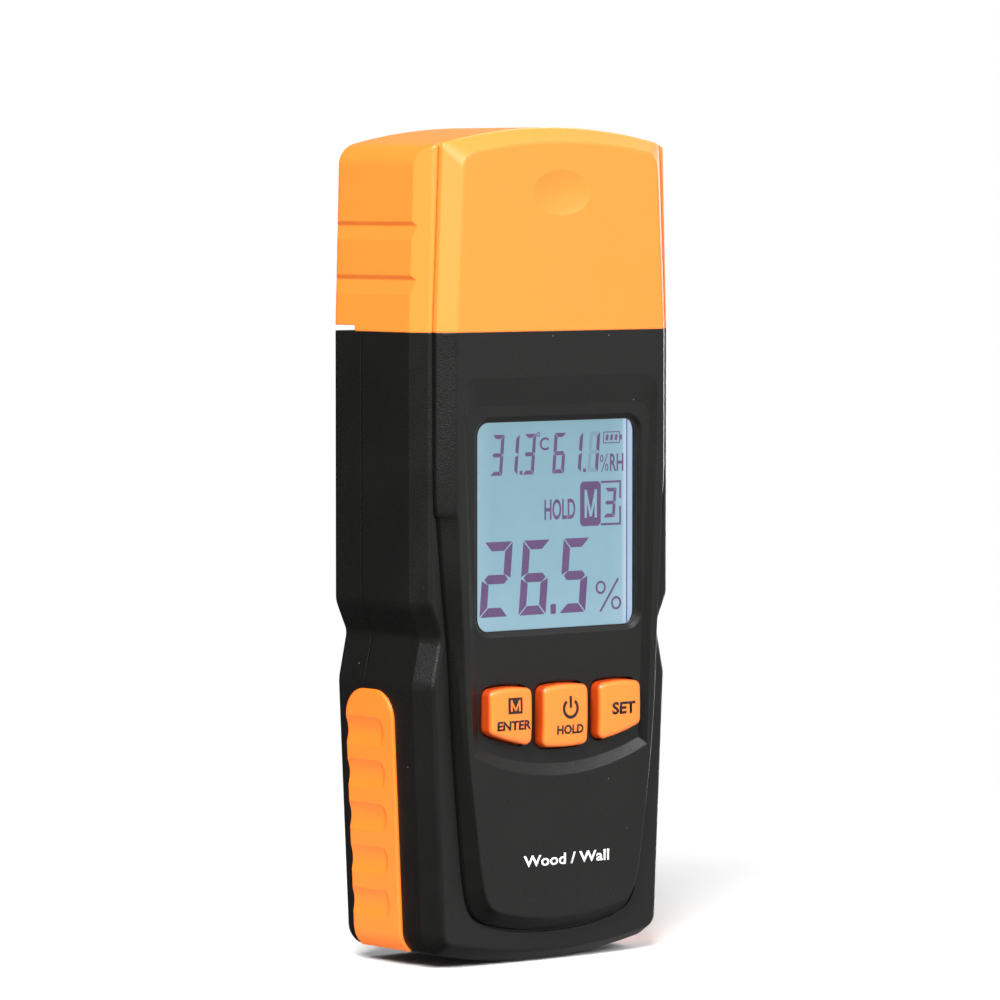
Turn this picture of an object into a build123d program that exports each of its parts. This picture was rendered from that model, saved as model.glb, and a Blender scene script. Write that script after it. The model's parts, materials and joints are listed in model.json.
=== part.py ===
from build123d import *
import os
from math import radians, sqrt, tan

os.makedirs("parts", exist_ok=True)

# Hand-held two-pin moisture meter. +Z runs up its length, its front faces -Y, and the origin is
# at the bottom centre of its bounding box. All sizes are in millimetres.

# --- overall -------------------------------------------------------------------------------
HEIGHT = 160.0          # foot to crown of the cap
SEAM_Z = 121.2          # where the cap meets the body
HALF_W = 31.5           # half of the widest width
BACK_Y = 16.5           # rear face
SPLIT_Y = 7.4           # parting plane of the two shells
BASE_Y = -11.3          # front of the shell outside the raised panel
FACE_Y = -14.6          # front of the raised panel
KEY_Y = -16.5           # tops of the keys
CROWN_R = 120.0         # radius of the domed foot and of the domed cap top
WALL = 2.0              # shell wall
SIDE_WALL = 2.6         # shell wall behind the grips

# --- body outline, seen from the front -------------------------------------------------------
WAIST_TOP_Z = 69.3
WAIST_HALF, WAIST_Z = 28.9, 63.4
HIP_HALF, HIP_Z = 30.8, 54.5
FOOT_HALF = 28.4
CORNER_R = 4.6
CHAMFER_X, CHAMFER_Y = 2.2, 3.9   # bevel between the front and the sides
BACK_R = 1.8
BEVEL_R = 1.2
SEAM_LINE_W, SEAM_LINE_D = 0.3, 0.35   # shadow line where the two shells meet

# --- raised panel: half outlines from the upper body down to the middle of the foot ----------
PANEL_FOOT = [(28.5, 96), (27.8, 86), (26.6, 74), (25.2, 62), (24.3, 49), (23.2, 34), (22.1, 22.5),
              (21.2, 15), (19.2, 9.9), (14.0, 7.6), (0, 6.2)]
PANEL_RIM = [(25.6, 96), (25.3, 86), (24.7, 74), (24.0, 62), (23.4, 49), (21.9, 34), (20.3, 22.5),
             (19.2, 16), (17.2, 11.9), (12.5, 10.1), (0, 8.8)]
PANEL_POCKET = [(22.4, SEAM_Z - WALL), (22.4, 64), (21.2, 50), (16.6, 14)]   # hollow behind it
CAP_FOOT_TOP, CAP_RIM_TOP = 27.0, 23.9   # the same half widths at the top of the cap
PANEL_BASE_Y = BASE_Y + 0.55
GROOVE_W = 0.45
RIM_STEPS = [(0.0, 0.0), (0.07, 0.26), (0.90, 0.91), (0.97, 0.975), (1.12, 1.0)]   # moved in, risen
PANEL_CORNER_R = 1.8, 3.6        # of the panel's foot and rim at the top of the cap

# --- recess for display and keys --------------------------------------------------------------
FLOOR_Y = -13.8
RECESS_TOP = (24.3, 112.6)       # half width and height on the panel face
RECESS_FLOOR_TOP = (22.7, 107.2)
RECESS_LOW = (21.6, 40.8)        # ends of the curved ledge under the keys
RECESS_FLOOR_LOW = (19.9, 42.2)
LEDGE_Z, LEDGE_FLOOR_Z = 36.1, 38.4

# --- display ----------------------------------------------------------------------------------
WINDOW_W, WINDOW_Z0, WINDOW_Z1, WINDOW_R = 39.4, 64.3, 104.0, 2.6
WINDOW_Z = (WINDOW_Z0 + WINDOW_Z1) / 2
WINDOW_H = WINDOW_Z1 - WINDOW_Z0
LENS_FRONT, LENS_BACK = -12.6, -11.4
LENS_RIM = 1.6                   # how far the lens reaches behind the window's edge
GLASS_FRONT, GLASS_BACK = -11.0, -8.4
BOARD_FRONT, BOARD_BACK = -5.6, -4.0
BOARD_HALF, BOARD_Z0, BOARD_Z1 = 22.4, 15.0, 117.0
INNER_FACE_Y = -11.8             # inner side of the panel wall
INNER_BASE_Y = BASE_Y + 2.3
INNER_BACK_Y = BACK_Y - WALL

# --- keys -------------------------------------------------------------------------------------
KEYS = {"enter": (-18.8, -8.3), "power": (-5.6, 5.6), "set": (8.3, 18.8)}
KEY_TOP_Z, KEY_TOP_EDGE_Z = 53.8, 53.3
KEY_ARC_R, KEY_ARC_Z = 52.0, 41.6
KEY_GAP = 0.45
KEY_TRAVEL = 0.5
KEY_SKIRT_Y = INNER_FACE_Y + 0.1
SWITCH_Z = 47.8
SWITCH_SIZE, SWITCH_H = 6.0, 3.5
PLUNGER_R = 1.7

# --- grips ------------------------------------------------------------------------------------
GRIP_Y0, GRIP_Y1, GRIP_TOP_Z, GRIP_TOP_R = -1.5, 13.1, 53.0, 5.6
GRIP_PROUD, GRIP_DEPTH = 0.55, 1.3
GRIP_END_X = 26.4                # where the grip stops under the foot
SCOOP_Z0, SCOOP_PITCH, SCOOPS = 11.6, 8.25, 5

# --- cap and probe ----------------------------------------------------------------------------
CAP_TOP_HALF = 30.4
CAP_WALL = 2.2
CROWN_FRONT_R, CROWN_BACK_R, PANEL_TOP_R = 0.5, 1.5, 0.6
CAP_TOP_EDGE_Z = 150.0           # above this, an edge on the outline belongs to the domed top
REAR_GAP, REAR_GAP_Y = 1.1, 9.3
NECK_HALF, NECK_Y0, NECK_Y1, NECK_TOP_Z = 26.4, -8.4, 11.0, 130.0
FIT = 0.3                        # gap between the neck and the ribs of the cap
PIN_X, PIN_R, PIN_TIP_Z = 13.0, 1.0, 144.0
SHANK_R, SHANK_TOP = 1.5, 0.3     # thicker root of a needle, and how far it clears its nut
PIN_Y = 1.0

# --- cells and their bay ----------------------------------------------------------------------
CELL_R, CELL_LEN, CELL_PITCH, CELL_Y = 5.2, 44.5, 11.0, 8.9
BAY_HALF, BAY_Z0, BAY_Z1, BAY_Y0, BAY_WALL = 16.9, 7.6, 56.8, 2.0, 1.2
DOOR_HALF, DOOR_Z0, DOOR_Z1, DOOR_T = 18.1, 6.2, 58.2, 1.8
DOOR_GAP = 0.25
SPRING_H, SPRING_R, WIRE_R, PLATE_T = 3.9, 2.6, 0.25, 0.4

CASE_SCREWS = [(-25.7, 114.5), (25.7, 114.5), (-22.6, 10.4), (22.6, 10.4)]
BOARD_SCREWS = [(-19.4, 18.8), (19.4, 18.8), (-19.4, 113.4), (19.4, 113.4)]

# --- small fixings ----------------------------------------------------------------------------
PILOT_R = 1.1
BOSS_END_Y = 7.0
HEAD_R, HEAD_SEAT_Y, SCREW_TIP_Y = 2.3, 12.0, -1.0
HOOK_X, HOOK_W, HOOK_LEN, HOOK_Y0, HOOK_Y1 = 10.0, 6.0, 1.7, 13.3, 14.9
LABEL_W, LABEL_H, LABEL_Z, LABEL_T = 40.0, 26.0, 88.0, 0.4
COLLAR_H, NUT_H = 1.2, 3.0
LEAD_X, LEAD_HOLE_R, LEAD_END_X = PIN_X, 2.2, 14.0
SCOOP_R, SCOOP_DEPTH, SCOOP_LENGTH, SCOOP_Y0, SCOOP_END_R = 6.0, 0.68, 18.0, 0.2, 3.0
NOTCHES, NOTCH_DEPTH = (142.2, 132.0), 0.6
CAP_RIM_Z = 157.3
DIMPLE_R, DIMPLE_DEPTH, DIMPLE_Z = 50.0, 0.5, 147.5


def at_y(y):
    """The upright plane at depth y. Its x is X, its y is Z, and it faces the front."""
    return Plane.XZ.offset(-y)


def slab(sketch, y_back, y_front):
    """A front-view sketch made solid between two depths."""
    return extrude(at_y(y_back) * sketch, amount=y_back - y_front)


def block(x0, x1, y0, y1, z0, z1):
    """A box given by its limits."""
    size = Box(x1 - x0, y1 - y0, z1 - z0)
    return Pos((x0 + x1) / 2, (y0 + y1) / 2, (z0 + z1) / 2) * size


def rod(x, z, radius, y_back, y_front):
    """A round bar or hole along Y."""
    return slab(Pos(x, z) * Circle(radius), y_back, y_front)


def post(x, y, radius, z0, z1):
    """A round bar along Z."""
    return Pos(x, y, (z0 + z1) / 2) * Cylinder(radius, z1 - z0)


def round_corners(face, corners):
    """Rounds each named corner of a symmetric outline, on both sides."""
    for (x, z), radius in corners:
        for side in (-1, 1):
            corner = face.vertices().sort_by_distance(Vector(side * x, z))[0]
            face = fillet(corner, radius)
    return face


def mirrored(points):
    """The left-hand copies of right-hand points, in the opposite order."""
    return [(-x, z) for x, z in reversed(points)]


def crown_drop(x, radius=CROWN_R):
    """How far the domed end falls away at a distance x from the middle."""
    return CROWN_R - sqrt(radius**2 - x**2)


def body_outline(inset=0.0, top_z=SEAM_Z):
    """The body from the front: straight above, drawn in at the waist, tapered to a domed foot."""
    foot_x = FOOT_HALF - inset
    foot_z = crown_drop(foot_x, CROWN_R - inset)
    right = [(HALF_W - inset, top_z), (HALF_W - inset, WAIST_TOP_Z), (WAIST_HALF - inset, WAIST_Z),
             (HIP_HALF - inset, HIP_Z), (foot_x, foot_z)]
    foot = ThreePointArc((foot_x, foot_z), (0, inset), (-foot_x, foot_z))
    face = make_face(Polyline(*(mirrored(right) + right)) + foot)
    corner_r = max(CORNER_R - inset, 1.0)
    return round_corners(face, [((foot_x, foot_z), corner_r), (right[1], 5.0), (right[2], 3.0),
                                (right[3], 8.0)])


def cap_outline(inset=0.0, bottom_z=SEAM_Z):
    """The cap from the front: slightly tapered, with a domed top."""
    top_x = CAP_TOP_HALF - inset
    top_z = HEIGHT - crown_drop(top_x, CROWN_R - inset)
    right = [(top_x, top_z), (HALF_W - inset, bottom_z)]
    crown = ThreePointArc((top_x, top_z), (0, HEIGHT - inset), (-top_x, top_z))
    face = make_face(Polyline(*(right + mirrored(right))) + crown)
    return round_corners(face, [((top_x, top_z), max(CORNER_R - inset, 1.0))])


def bevelled(outline, keep_edge):
    """The outline made solid, bevelled at the front and rounded at the back, apart from its seam."""
    body = slab(outline, BACK_Y, BASE_Y)
    front = body.faces().sort_by(Axis.Y)[0]
    front_edges = [edge for edge in front.edges() if not keep_edge(edge)]
    body = chamfer(front_edges, CHAMFER_X, CHAMFER_Y, reference=front)
    front = body.faces().sort_by(Axis.Y)[0]
    body = fillet([edge for edge in front.edges() if not keep_edge(edge)], BEVEL_R)
    back = body.faces().sort_by(Axis.Y)[-1]
    back_edges = [edge for edge in back.edges() if not keep_edge(edge)]
    return fillet(back_edges, BACK_R)


def blend(low, high, t):
    """A value or a point between two others."""
    if isinstance(low, tuple):
        return tuple(blend(a, b, t) for a, b in zip(low, high))
    return low + (high - low) * t


def grown(points, margin):
    """A half outline moved outwards, square to the line through each point's neighbours."""
    moved = []
    for before, point, after in zip(points[:1] + points, points, points[1:]):
        run_x, run_z = after[0] - before[0], after[1] - before[1]
        scale_by = margin / sqrt(run_x**2 + run_z**2)
        moved.append((point[0] - run_z * scale_by, point[1] + run_x * scale_by))
    return moved + [(0, points[-1][1] - margin)]


def shield(points, top_z=SEAM_Z):
    """A shield-shaped face: straight above, then one smooth curve down to the foot."""
    x, z = points[0]
    right = Spline(points, tangents=[(0, -1), (-1, 0)])
    left = Spline(mirrored(points), tangents=[(-1, 0), (0, 1)])
    top = Polyline((-x, z), (-x, top_z), (x, top_z), (x, z))
    return make_face(top + right + left)


def panel_outline(t):
    """The outline of the raised panel, from its foot (t = 0) to its rim (t = 1)."""
    return shield([blend(foot, rim, t) for foot, rim in zip(PANEL_FOOT, PANEL_RIM)])


def cap_panel_outline(t):
    """The same panel on the cap, narrowing a little to its domed top."""
    low_half = blend(PANEL_FOOT[0][0], PANEL_RIM[0][0], t)
    top_half = blend(CAP_FOOT_TOP, CAP_RIM_TOP, t)
    top_z = blend(HEIGHT + 0.6, CAP_RIM_Z, t)
    corner = (top_half, top_z - crown_drop(top_half))
    crown = ThreePointArc((-corner[0], corner[1]), (0, top_z), corner)
    sides = Polyline(corner, (low_half, SEAM_Z), (-low_half, SEAM_Z), (-corner[0], corner[1]))
    return round_corners(make_face(sides + crown), [(corner, blend(*PANEL_CORNER_R, t))])


def raised_panel(outline):
    """A panel with bevelled sides and a softened rim, built up from its outlines."""
    depth = FACE_Y - PANEL_BASE_Y
    return loft([at_y(PANEL_BASE_Y + depth * rise) * outline(t) for t, rise in RIM_STEPS], ruled=True)


def recess_outline(top, low, ledge_z):
    """The sunk field around display and keys, from its flat top to its curved ledge."""
    ledge = ThreePointArc(low, (0, ledge_z), (-low[0], low[1]))
    sides = Polyline((-low[0], low[1]), (-top[0], top[1]), top, low)
    return round_corners(make_face(sides + ledge), [(top, 3.0)])


def key_outline(x0, x1, gap=0.0):
    """One key: straight sides, a faintly domed top and a bottom on the arc shared by all three."""
    def arc_z(x):
        return KEY_ARC_Z + KEY_ARC_R - sqrt(KEY_ARC_R**2 - x**2)
    middle = (x0 + x1) / 2
    sides = Line((x0, arc_z(x0)), (x0, KEY_TOP_EDGE_Z)) + Line((x1, KEY_TOP_EDGE_Z), (x1, arc_z(x1)))
    top = ThreePointArc((x0, KEY_TOP_EDGE_Z), (middle, KEY_TOP_Z), (x1, KEY_TOP_EDGE_Z))
    bottom = ThreePointArc((x1, arc_z(x1)), (middle, arc_z(middle)), (x0, arc_z(x0)))
    face = make_face(sides + top + bottom)
    face = fillet(face.vertices(), 1.4)
    if gap:
        face = offset(face, gap)
    return face


def grip_band(outset, inset):
    """The strip that follows the body's side and foot, between two distances from its surface."""
    band = slab(body_outline(-outset), GRIP_Y1 + 1, GRIP_Y0 - 1)
    return band - slab(body_outline(inset), GRIP_Y1 + 2, GRIP_Y0 - 2)


def grip_profile(gap=0.0):
    """The grip seen from the side, running from under the foot up to its round top."""
    width = GRIP_Y1 - GRIP_Y0 + 2 * gap
    height = GRIP_TOP_Z + 20 + gap
    profile = RectangleRounded(width, height, GRIP_TOP_R + gap)
    centre = ((GRIP_Y0 + GRIP_Y1) / 2, GRIP_TOP_Z + gap - height / 2)
    return Plane.YZ * Pos(*centre) * profile


def on_outer_face(edge, outline):
    """Whether an edge lies on the outer surface that the outline sweeps."""
    point = edge @ 0.5
    return outline.distance_to(Vertex(point.X, point.Z, 0)) < 0.05


def grip(side):
    """One soft grip: a strip with a rounded rim and finger scoops that run out over its back edge."""
    reach = extrude(grip_profile(), amount=side * (HALF_W + 3))
    solid = grip_band(GRIP_PROUD, GRIP_DEPTH) & reach
    solid -= block(-GRIP_END_X, GRIP_END_X, -30, 30, -5, 60)
    solid = solid.solids().sort_by(SortBy.VOLUME)[-1]
    outline = body_outline(-GRIP_PROUD).face().outer_wire()
    solid = fillet([edge for edge in solid.edges() if on_outer_face(edge, outline)], 0.45)
    for index in range(SCOOPS):
        z = SCOOP_Z0 + index * SCOOP_PITCH
        x = FOOT_HALF + (HIP_HALF - FOOT_HALF) * z / HIP_Z + GRIP_PROUD
        scoop = fillet(Cylinder(SCOOP_R, SCOOP_LENGTH, rotation=(90, 0, 0)).edges(), SCOOP_END_R)
        solid -= Pos(side * (x + SCOOP_R - SCOOP_DEPTH), SCOOP_Y0 + SCOOP_LENGTH / 2, z) * scoop
    return solid


def grip_pocket(side):
    """The seat of one grip, cut into both shells with a fine shadow gap."""
    reach = extrude(grip_profile(0.12), amount=side * (HALF_W + 3))
    band = slab(body_outline(-3), GRIP_Y1 + 2, GRIP_Y0 - 2)
    band -= slab(body_outline(GRIP_DEPTH), GRIP_Y1 + 3, GRIP_Y0 - 3)
    return (band & reach) - block(-GRIP_END_X + 0.12, GRIP_END_X - 0.12, -30, 30, -5, 60)


def window(grow=0.0):
    """The display window, grown by a margin."""
    shape = RectangleRounded(WINDOW_W + 2 * grow, WINDOW_H + 2 * grow, WINDOW_R + grow)
    return Pos(0, WINDOW_Z) * shape


def case_body():
    """The closed outer form of the body, bevelled at the front and rounded at the back."""
    return bevelled(body_outline(), lambda edge: edge.center().Z > SEAM_Z - 0.1)


def front_cavity():
    """The space inside the front shell, which goes round the screw bosses."""
    space = slab(body_outline(SIDE_WALL, SEAM_Z - WALL), SPLIT_Y + 1, INNER_BASE_Y)
    pocket = make_face(Polyline(*(PANEL_POCKET + mirrored(PANEL_POCKET)), close=True))
    space += slab(pocket, INNER_BASE_Y + 1, INNER_FACE_Y)
    for x, z in BOARD_SCREWS:
        space -= rod(x, z, 2.6, BOARD_FRONT, INNER_FACE_Y - 1)
    for x, z in CASE_SCREWS:
        space -= rod(x, z, 2.9, BOSS_END_Y, INNER_FACE_Y - 1)
    return space


def front_shell():
    """Front half of the case, with the raised panel, the window, the key holes and its bosses."""
    shell = case_body() & block(-40, 40, -30, SPLIT_Y, -5, SEAM_Z)
    shell -= slab(shield(grown(PANEL_FOOT, GROOVE_W), SEAM_Z + 1), PANEL_BASE_Y, BASE_Y - 5)
    shell += raised_panel(panel_outline)
    field = recess_outline(RECESS_TOP, RECESS_LOW, LEDGE_Z)
    floor = recess_outline(RECESS_FLOOR_TOP, RECESS_FLOOR_LOW, LEDGE_FLOOR_Z)
    shell -= loft([at_y(FACE_Y) * field, at_y(FLOOR_Y) * floor], ruled=True)

    shell -= front_cavity()
    for x, z in BOARD_SCREWS:
        shell -= rod(x, z, PILOT_R, BOARD_FRONT + 1, INNER_FACE_Y + 1.0)
    for x, z in CASE_SCREWS:
        shell -= rod(x, z, PILOT_R, BOSS_END_Y + 1, SCREW_TIP_Y - 0.8)

    shell -= slab(window(), INNER_FACE_Y + 1, FACE_Y)
    bezel = loft([at_y(FLOOR_Y) * window(1.1), at_y(FLOOR_Y + 0.5) * window(0.25)], ruled=True)
    shell -= bezel
    shell -= slab(window(LENS_RIM + 0.1), INNER_FACE_Y + 0.5, LENS_FRONT)
    for x0, x1 in KEYS.values():
        shell -= slab(key_outline(x0, x1, KEY_GAP), INNER_FACE_Y + 1, FACE_Y)
    for side in (-1, 1):
        shell -= grip_pocket(side)
    for x in (-LEAD_X, LEAD_X):
        shell -= post(x, PIN_Y, LEAD_HOLE_R, SEAM_Z - WALL - 1, SEAM_Z + 1)
    seam_line = slab(body_outline(-1), SPLIT_Y + 1, SPLIT_Y - SEAM_LINE_W)
    return shell - (seam_line - slab(body_outline(SEAM_LINE_D), SPLIT_Y + 2, SPLIT_Y - 2))


def rear_shell():
    """Rear half of the case, with the battery bay, the door's seat and the screw tunnels."""
    shell = case_body() & block(-40, 40, SPLIT_Y, 30, -5, SEAM_Z)
    shell -= slab(body_outline(SIDE_WALL, SEAM_Z - WALL), INNER_BACK_Y, SPLIT_Y - 1)
    bay_outer = BAY_HALF + BAY_WALL
    shell += block(-bay_outer, bay_outer, BAY_Y0, INNER_BACK_Y, BAY_Z0 - BAY_WALL, BAY_Z1 + BAY_WALL)
    shell -= block(-BAY_HALF, BAY_HALF, BAY_Y0 + BAY_WALL, BACK_Y + 1, BAY_Z0, BAY_Z1)
    for x in (-CELL_PITCH / 2, CELL_PITCH / 2):
        rib_top = BAY_Y0 + BAY_WALL + 2.2
        shell += block(x - 0.4, x + 0.4, BAY_Y0, rib_top, BAY_Z0 + 6, BAY_Z1 - 6)
    shell -= block(-DOOR_HALF - DOOR_GAP, DOOR_HALF + DOOR_GAP, BACK_Y - DOOR_T - 0.1, BACK_Y + 1,
                   DOOR_Z0 - DOOR_GAP, DOOR_Z1 + DOOR_GAP)
    for x in (-HOOK_X, HOOK_X):
        shell -= block(x - HOOK_W / 2 - 0.4, x + HOOK_W / 2 + 0.4, HOOK_Y0 - 1.2, BACK_Y - DOOR_T + 1,
                       DOOR_Z0 - HOOK_LEN - 0.8, BAY_Z0 + 0.5)
    for x, z in CASE_SCREWS:
        shell += rod(x, z, 3.4, BACK_Y - 1, BOSS_END_Y + 0.2) & slab(body_outline(0.8), 20, -20)
        shell -= rod(x, z, 1.6, BACK_Y + 1, BOSS_END_Y - 1)
        shell -= rod(x, z, HEAD_R + 0.3, BACK_Y + 1, HEAD_SEAT_Y)
    shell -= slab(Pos(0, LABEL_Z) * RectangleRounded(LABEL_W, LABEL_H, 1.5), BACK_Y + 1, BACK_Y - LABEL_T)
    notch_z = DOOR_Z1 + DOOR_GAP
    shell -= Pos(0, BACK_Y + 4.6, notch_z + 1.0) * Sphere(6.0)
    for side in (-1, 1):
        shell -= grip_pocket(side)
    return shell


def battery_door():
    """The bay's cover: a flush plate with two hooks at its foot and thumb grooves near its top."""
    plate = block(-DOOR_HALF, DOOR_HALF, BACK_Y - DOOR_T, BACK_Y, DOOR_Z0, DOOR_Z1)
    plate = fillet(plate.edges().filter_by(Axis.Y), 1.0)
    for x in (-HOOK_X, HOOK_X):
        plate += block(x - HOOK_W / 2, x + HOOK_W / 2, HOOK_Y0, HOOK_Y1, DOOR_Z0 - HOOK_LEN, DOOR_Z0 + 1.4)
        plate += block(x - HOOK_W / 2, x + HOOK_W / 2, HOOK_Y0, BACK_Y - DOOR_T + 0.5, DOOR_Z0 + 0.4,
                       DOOR_Z0 + 1.4)
    for index in range(4):
        z = DOOR_Z1 - 5.0 - index * 2.0
        plate -= block(-6, 6, BACK_Y - 0.5, BACK_Y + 1, z - 0.5, z + 0.5)
    return plate


def display_lens():
    """Clear window that is bonded behind the frame of the display opening."""
    return slab(window(LENS_RIM), LENS_BACK, LENS_FRONT)


def lens_gasket():
    """Foam frame between the lens and the display glass."""
    return slab(window(LENS_RIM) - window(0.6), GLASS_FRONT, LENS_BACK)


def lcd_panel():
    """The display glass: a front and a back pane, the back one longer where its contacts lie."""
    front = block(-20.6, 20.6, GLASS_FRONT, GLASS_FRONT + 1.2, WINDOW_Z0 - 0.4, WINDOW_Z1 + 0.9)
    back = block(-20.6, 20.6, GLASS_FRONT + 1.2, GLASS_BACK, WINDOW_Z0 - 3.4, WINDOW_Z1 + 0.9)
    return front + back


def lcd_backlight():
    """Light-spreading plate behind the glass, with its lamp block at one end."""
    plate = block(-19.0, 19.0, GLASS_BACK, GLASS_BACK + 2.0, WINDOW_Z0 + 1.5, WINDOW_Z1)
    lamp = block(-6.0, 6.0, GLASS_BACK, GLASS_BACK + 2.4, WINDOW_Z1 - 3.0, WINDOW_Z1 + 2.2)
    return plate + lamp


def lcd_frame():
    """Moulded holder that clips the glass and the light plate to the board."""
    frame = block(-21.5, 21.5, GLASS_FRONT + 0.2, BOARD_FRONT, WINDOW_Z0 - 4.6, WINDOW_Z1 + 3.4)
    frame -= block(-20.7, 20.7, GLASS_FRONT - 1, GLASS_BACK, WINDOW_Z0 - 3.5, WINDOW_Z1 + 1.0)
    frame -= block(-19.1, 19.1, GLASS_BACK - 0.5, BOARD_FRONT + 1, WINDOW_Z0 + 1.4, WINDOW_Z1 + 2.3)
    frame -= block(-19.1, 19.1, GLASS_BACK - 0.5, BOARD_FRONT + 1, WINDOW_Z0 - 3.3, WINDOW_Z0 + 0.4)
    return frame


def contact_strip():
    """Elastic striped strip that carries the display signals from the board to the glass."""
    return block(-18.5, 18.5, GLASS_BACK, BOARD_FRONT, WINDOW_Z0 - 2.8, WINDOW_Z0 - 0.8)


def circuit_board():
    """The main board, notched at its top for the probe leads."""
    board = block(-BOARD_HALF, BOARD_HALF, BOARD_FRONT, BOARD_BACK, BOARD_Z0, BOARD_Z1)
    board = fillet(board.edges().filter_by(Axis.Y), 1.5)
    for x, z in BOARD_SCREWS:
        board -= rod(x, z, 1.3, BOARD_BACK + 1, BOARD_FRONT - 1)
    return board


def board_chips():
    """The processor, the measuring amplifier and the memory on the back of the board."""
    chips = [((0.0, 76.0), (10.0, 10.0, 1.5)), ((-11.0, 99.0), (5.0, 6.2, 1.5)),
             ((11.5, 98.0), (5.0, 4.4, 1.4)), ((13.0, 72.0), (3.0, 3.0, 1.1))]
    solids = []
    for (x, z), (width, height, depth) in chips:
        chip = block(x - width / 2, x + width / 2, BOARD_BACK, BOARD_BACK + depth, z - height / 2,
                     z + height / 2)
        solids.append(chamfer(chip.faces().sort_by(Axis.Y)[-1].edges(), 0.2))
    return Compound(children=solids)


def board_parts():
    """Small parts on the back of the board: a crystal can, two capacitors and rows of resistors."""
    solids = [block(-12.0, -8.4, BOARD_BACK, BOARD_BACK + 1.4, 68.0, 79.0)]
    for x in (6.5, 12.8):
        can = rod(x, 86.0, 2.5, BOARD_BACK + 5.4, BOARD_BACK)
        solids.append(fillet(can.faces().sort_by(Axis.Y)[-1].edges(), 0.5))
    for row in range(2):
        for index in range(6):
            x = -15.0 + 5.2 * index
            z = 106.0 + 3.0 * row
            solids.append(block(x, x + 2.0, BOARD_BACK, BOARD_BACK + 0.6, z, z + 1.25))
    return Compound(children=solids)


def key_middle(name):
    """The X position of the middle of a key."""
    return sum(KEYS[name]) / 2


def switch_body(name):
    """Square push switch on the board behind one key, with the well of its plunger."""
    x = key_middle(name)
    half = SWITCH_SIZE / 2
    body = block(x - half, x + half, BOARD_FRONT - SWITCH_H, BOARD_FRONT, SWITCH_Z - half, SWITCH_Z + half)
    body = fillet(body.edges().filter_by(Axis.Y), 0.6)
    return body - rod(x, SWITCH_Z, PLUNGER_R + 0.1, BOARD_FRONT - 1.0, BOARD_FRONT - SWITCH_H - 1)


def plunger(name):
    """The moving stem of one switch, which the key pushes."""
    top = BOARD_FRONT - SWITCH_H - 0.9
    return rod(key_middle(name), SWITCH_Z, PLUNGER_R, BOARD_FRONT - 1.0 - KEY_TRAVEL - 0.2, top)


def key(name):
    """One key: a domed top, a hollow underside, a skirt behind the panel and a central post."""
    x0, x1 = KEYS[name]
    solid = slab(key_outline(x0, x1), KEY_SKIRT_Y + 0.8, KEY_Y)
    dome_r = 70.0
    solid = solid & (Pos((x0 + x1) / 2, KEY_Y + dome_r, SWITCH_Z + 0.6) * Sphere(dome_r))
    front = solid.faces().sort_by(Axis.Y)[0]
    solid = fillet(front.edges(), 1.1)
    solid += slab(key_outline(x0, x1, 1.0), KEY_SKIRT_Y + 0.8, KEY_SKIRT_Y)
    solid -= slab(offset(key_outline(x0, x1), -1.3), KEY_SKIRT_Y + 1, KEY_Y + 1.8)
    post_end = BOARD_FRONT - SWITCH_H - 0.9
    solid += rod((x0 + x1) / 2, SWITCH_Z, 1.9, post_end, KEY_Y + 1.5)
    return solid


def screw(x, z, head_r, head_h, seat_y, tip_y):
    """A pan-head screw with a cross recess, driven towards the front."""
    head = rod(x, z, head_r, seat_y + head_h, seat_y)
    head = fillet(head.faces().sort_by(Axis.Y)[-1].edges(), head_h * 0.4)
    shank = rod(x, z, PILOT_R, seat_y, tip_y)
    drive = block(x - head_r * 0.55, x + head_r * 0.55, seat_y + head_h * 0.4, seat_y + 5, z - 0.25, z + 0.25)
    drive += block(x - 0.25, x + 0.25, seat_y + head_h * 0.4, seat_y + 5, z - head_r * 0.55,
                   z + head_r * 0.55)
    return head + shank - drive


def probe_head():
    """Insulating neck that closes the top of the body and carries both pins and the air sensor."""
    width = 2 * NECK_HALF
    depth = NECK_Y1 - NECK_Y0
    middle_y = (NECK_Y0 + NECK_Y1) / 2
    neck = extrude(Plane.XY.offset(SEAM_Z) * Pos(0, middle_y) * RectangleRounded(width, depth, 3.0),
                   amount=NECK_TOP_Z - SEAM_Z)
    neck = fillet(neck.faces().sort_by(Axis.Z)[-1].edges(), 0.8)
    for x in (-PIN_X, PIN_X):
        neck += post(x, PIN_Y, 4.0, NECK_TOP_Z - 1, NECK_TOP_Z + COLLAR_H)
        neck -= post(x, PIN_Y, SHANK_R, NECK_TOP_Z - 6, NECK_TOP_Z + COLLAR_H + 1)
        neck -= post(x, PIN_Y, LEAD_HOLE_R, SEAM_Z - 1, NECK_TOP_Z - 6)
    for index in range(5):
        x = (index - 2) * 2.2
        neck -= block(x - 0.5, x + 0.5, PIN_Y - 3.5, PIN_Y + 3.5, NECK_TOP_Z - 2, NECK_TOP_Z + 1)
    neck -= block(-6.0, 6.0, PIN_Y - 4.0, PIN_Y + 4.0, SEAM_Z - 1, NECK_TOP_Z - 1.6)
    return neck


def probe_pin(side):
    """One steel needle with a ground point and a thicker shank, seated in the neck."""
    shoulder_z = NECK_TOP_Z + COLLAR_H + NUT_H + SHANK_TOP
    shank = post(side * PIN_X, PIN_Y, SHANK_R, NECK_TOP_Z - 6, shoulder_z)
    shaft = post(side * PIN_X, PIN_Y, PIN_R, shoulder_z - 1, PIN_TIP_Z - 3.0)
    point = Pos(side * PIN_X, PIN_Y, PIN_TIP_Z - 1.5) * Cone(PIN_R, 0.15, 3.0)
    return shank + shaft + point


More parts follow.
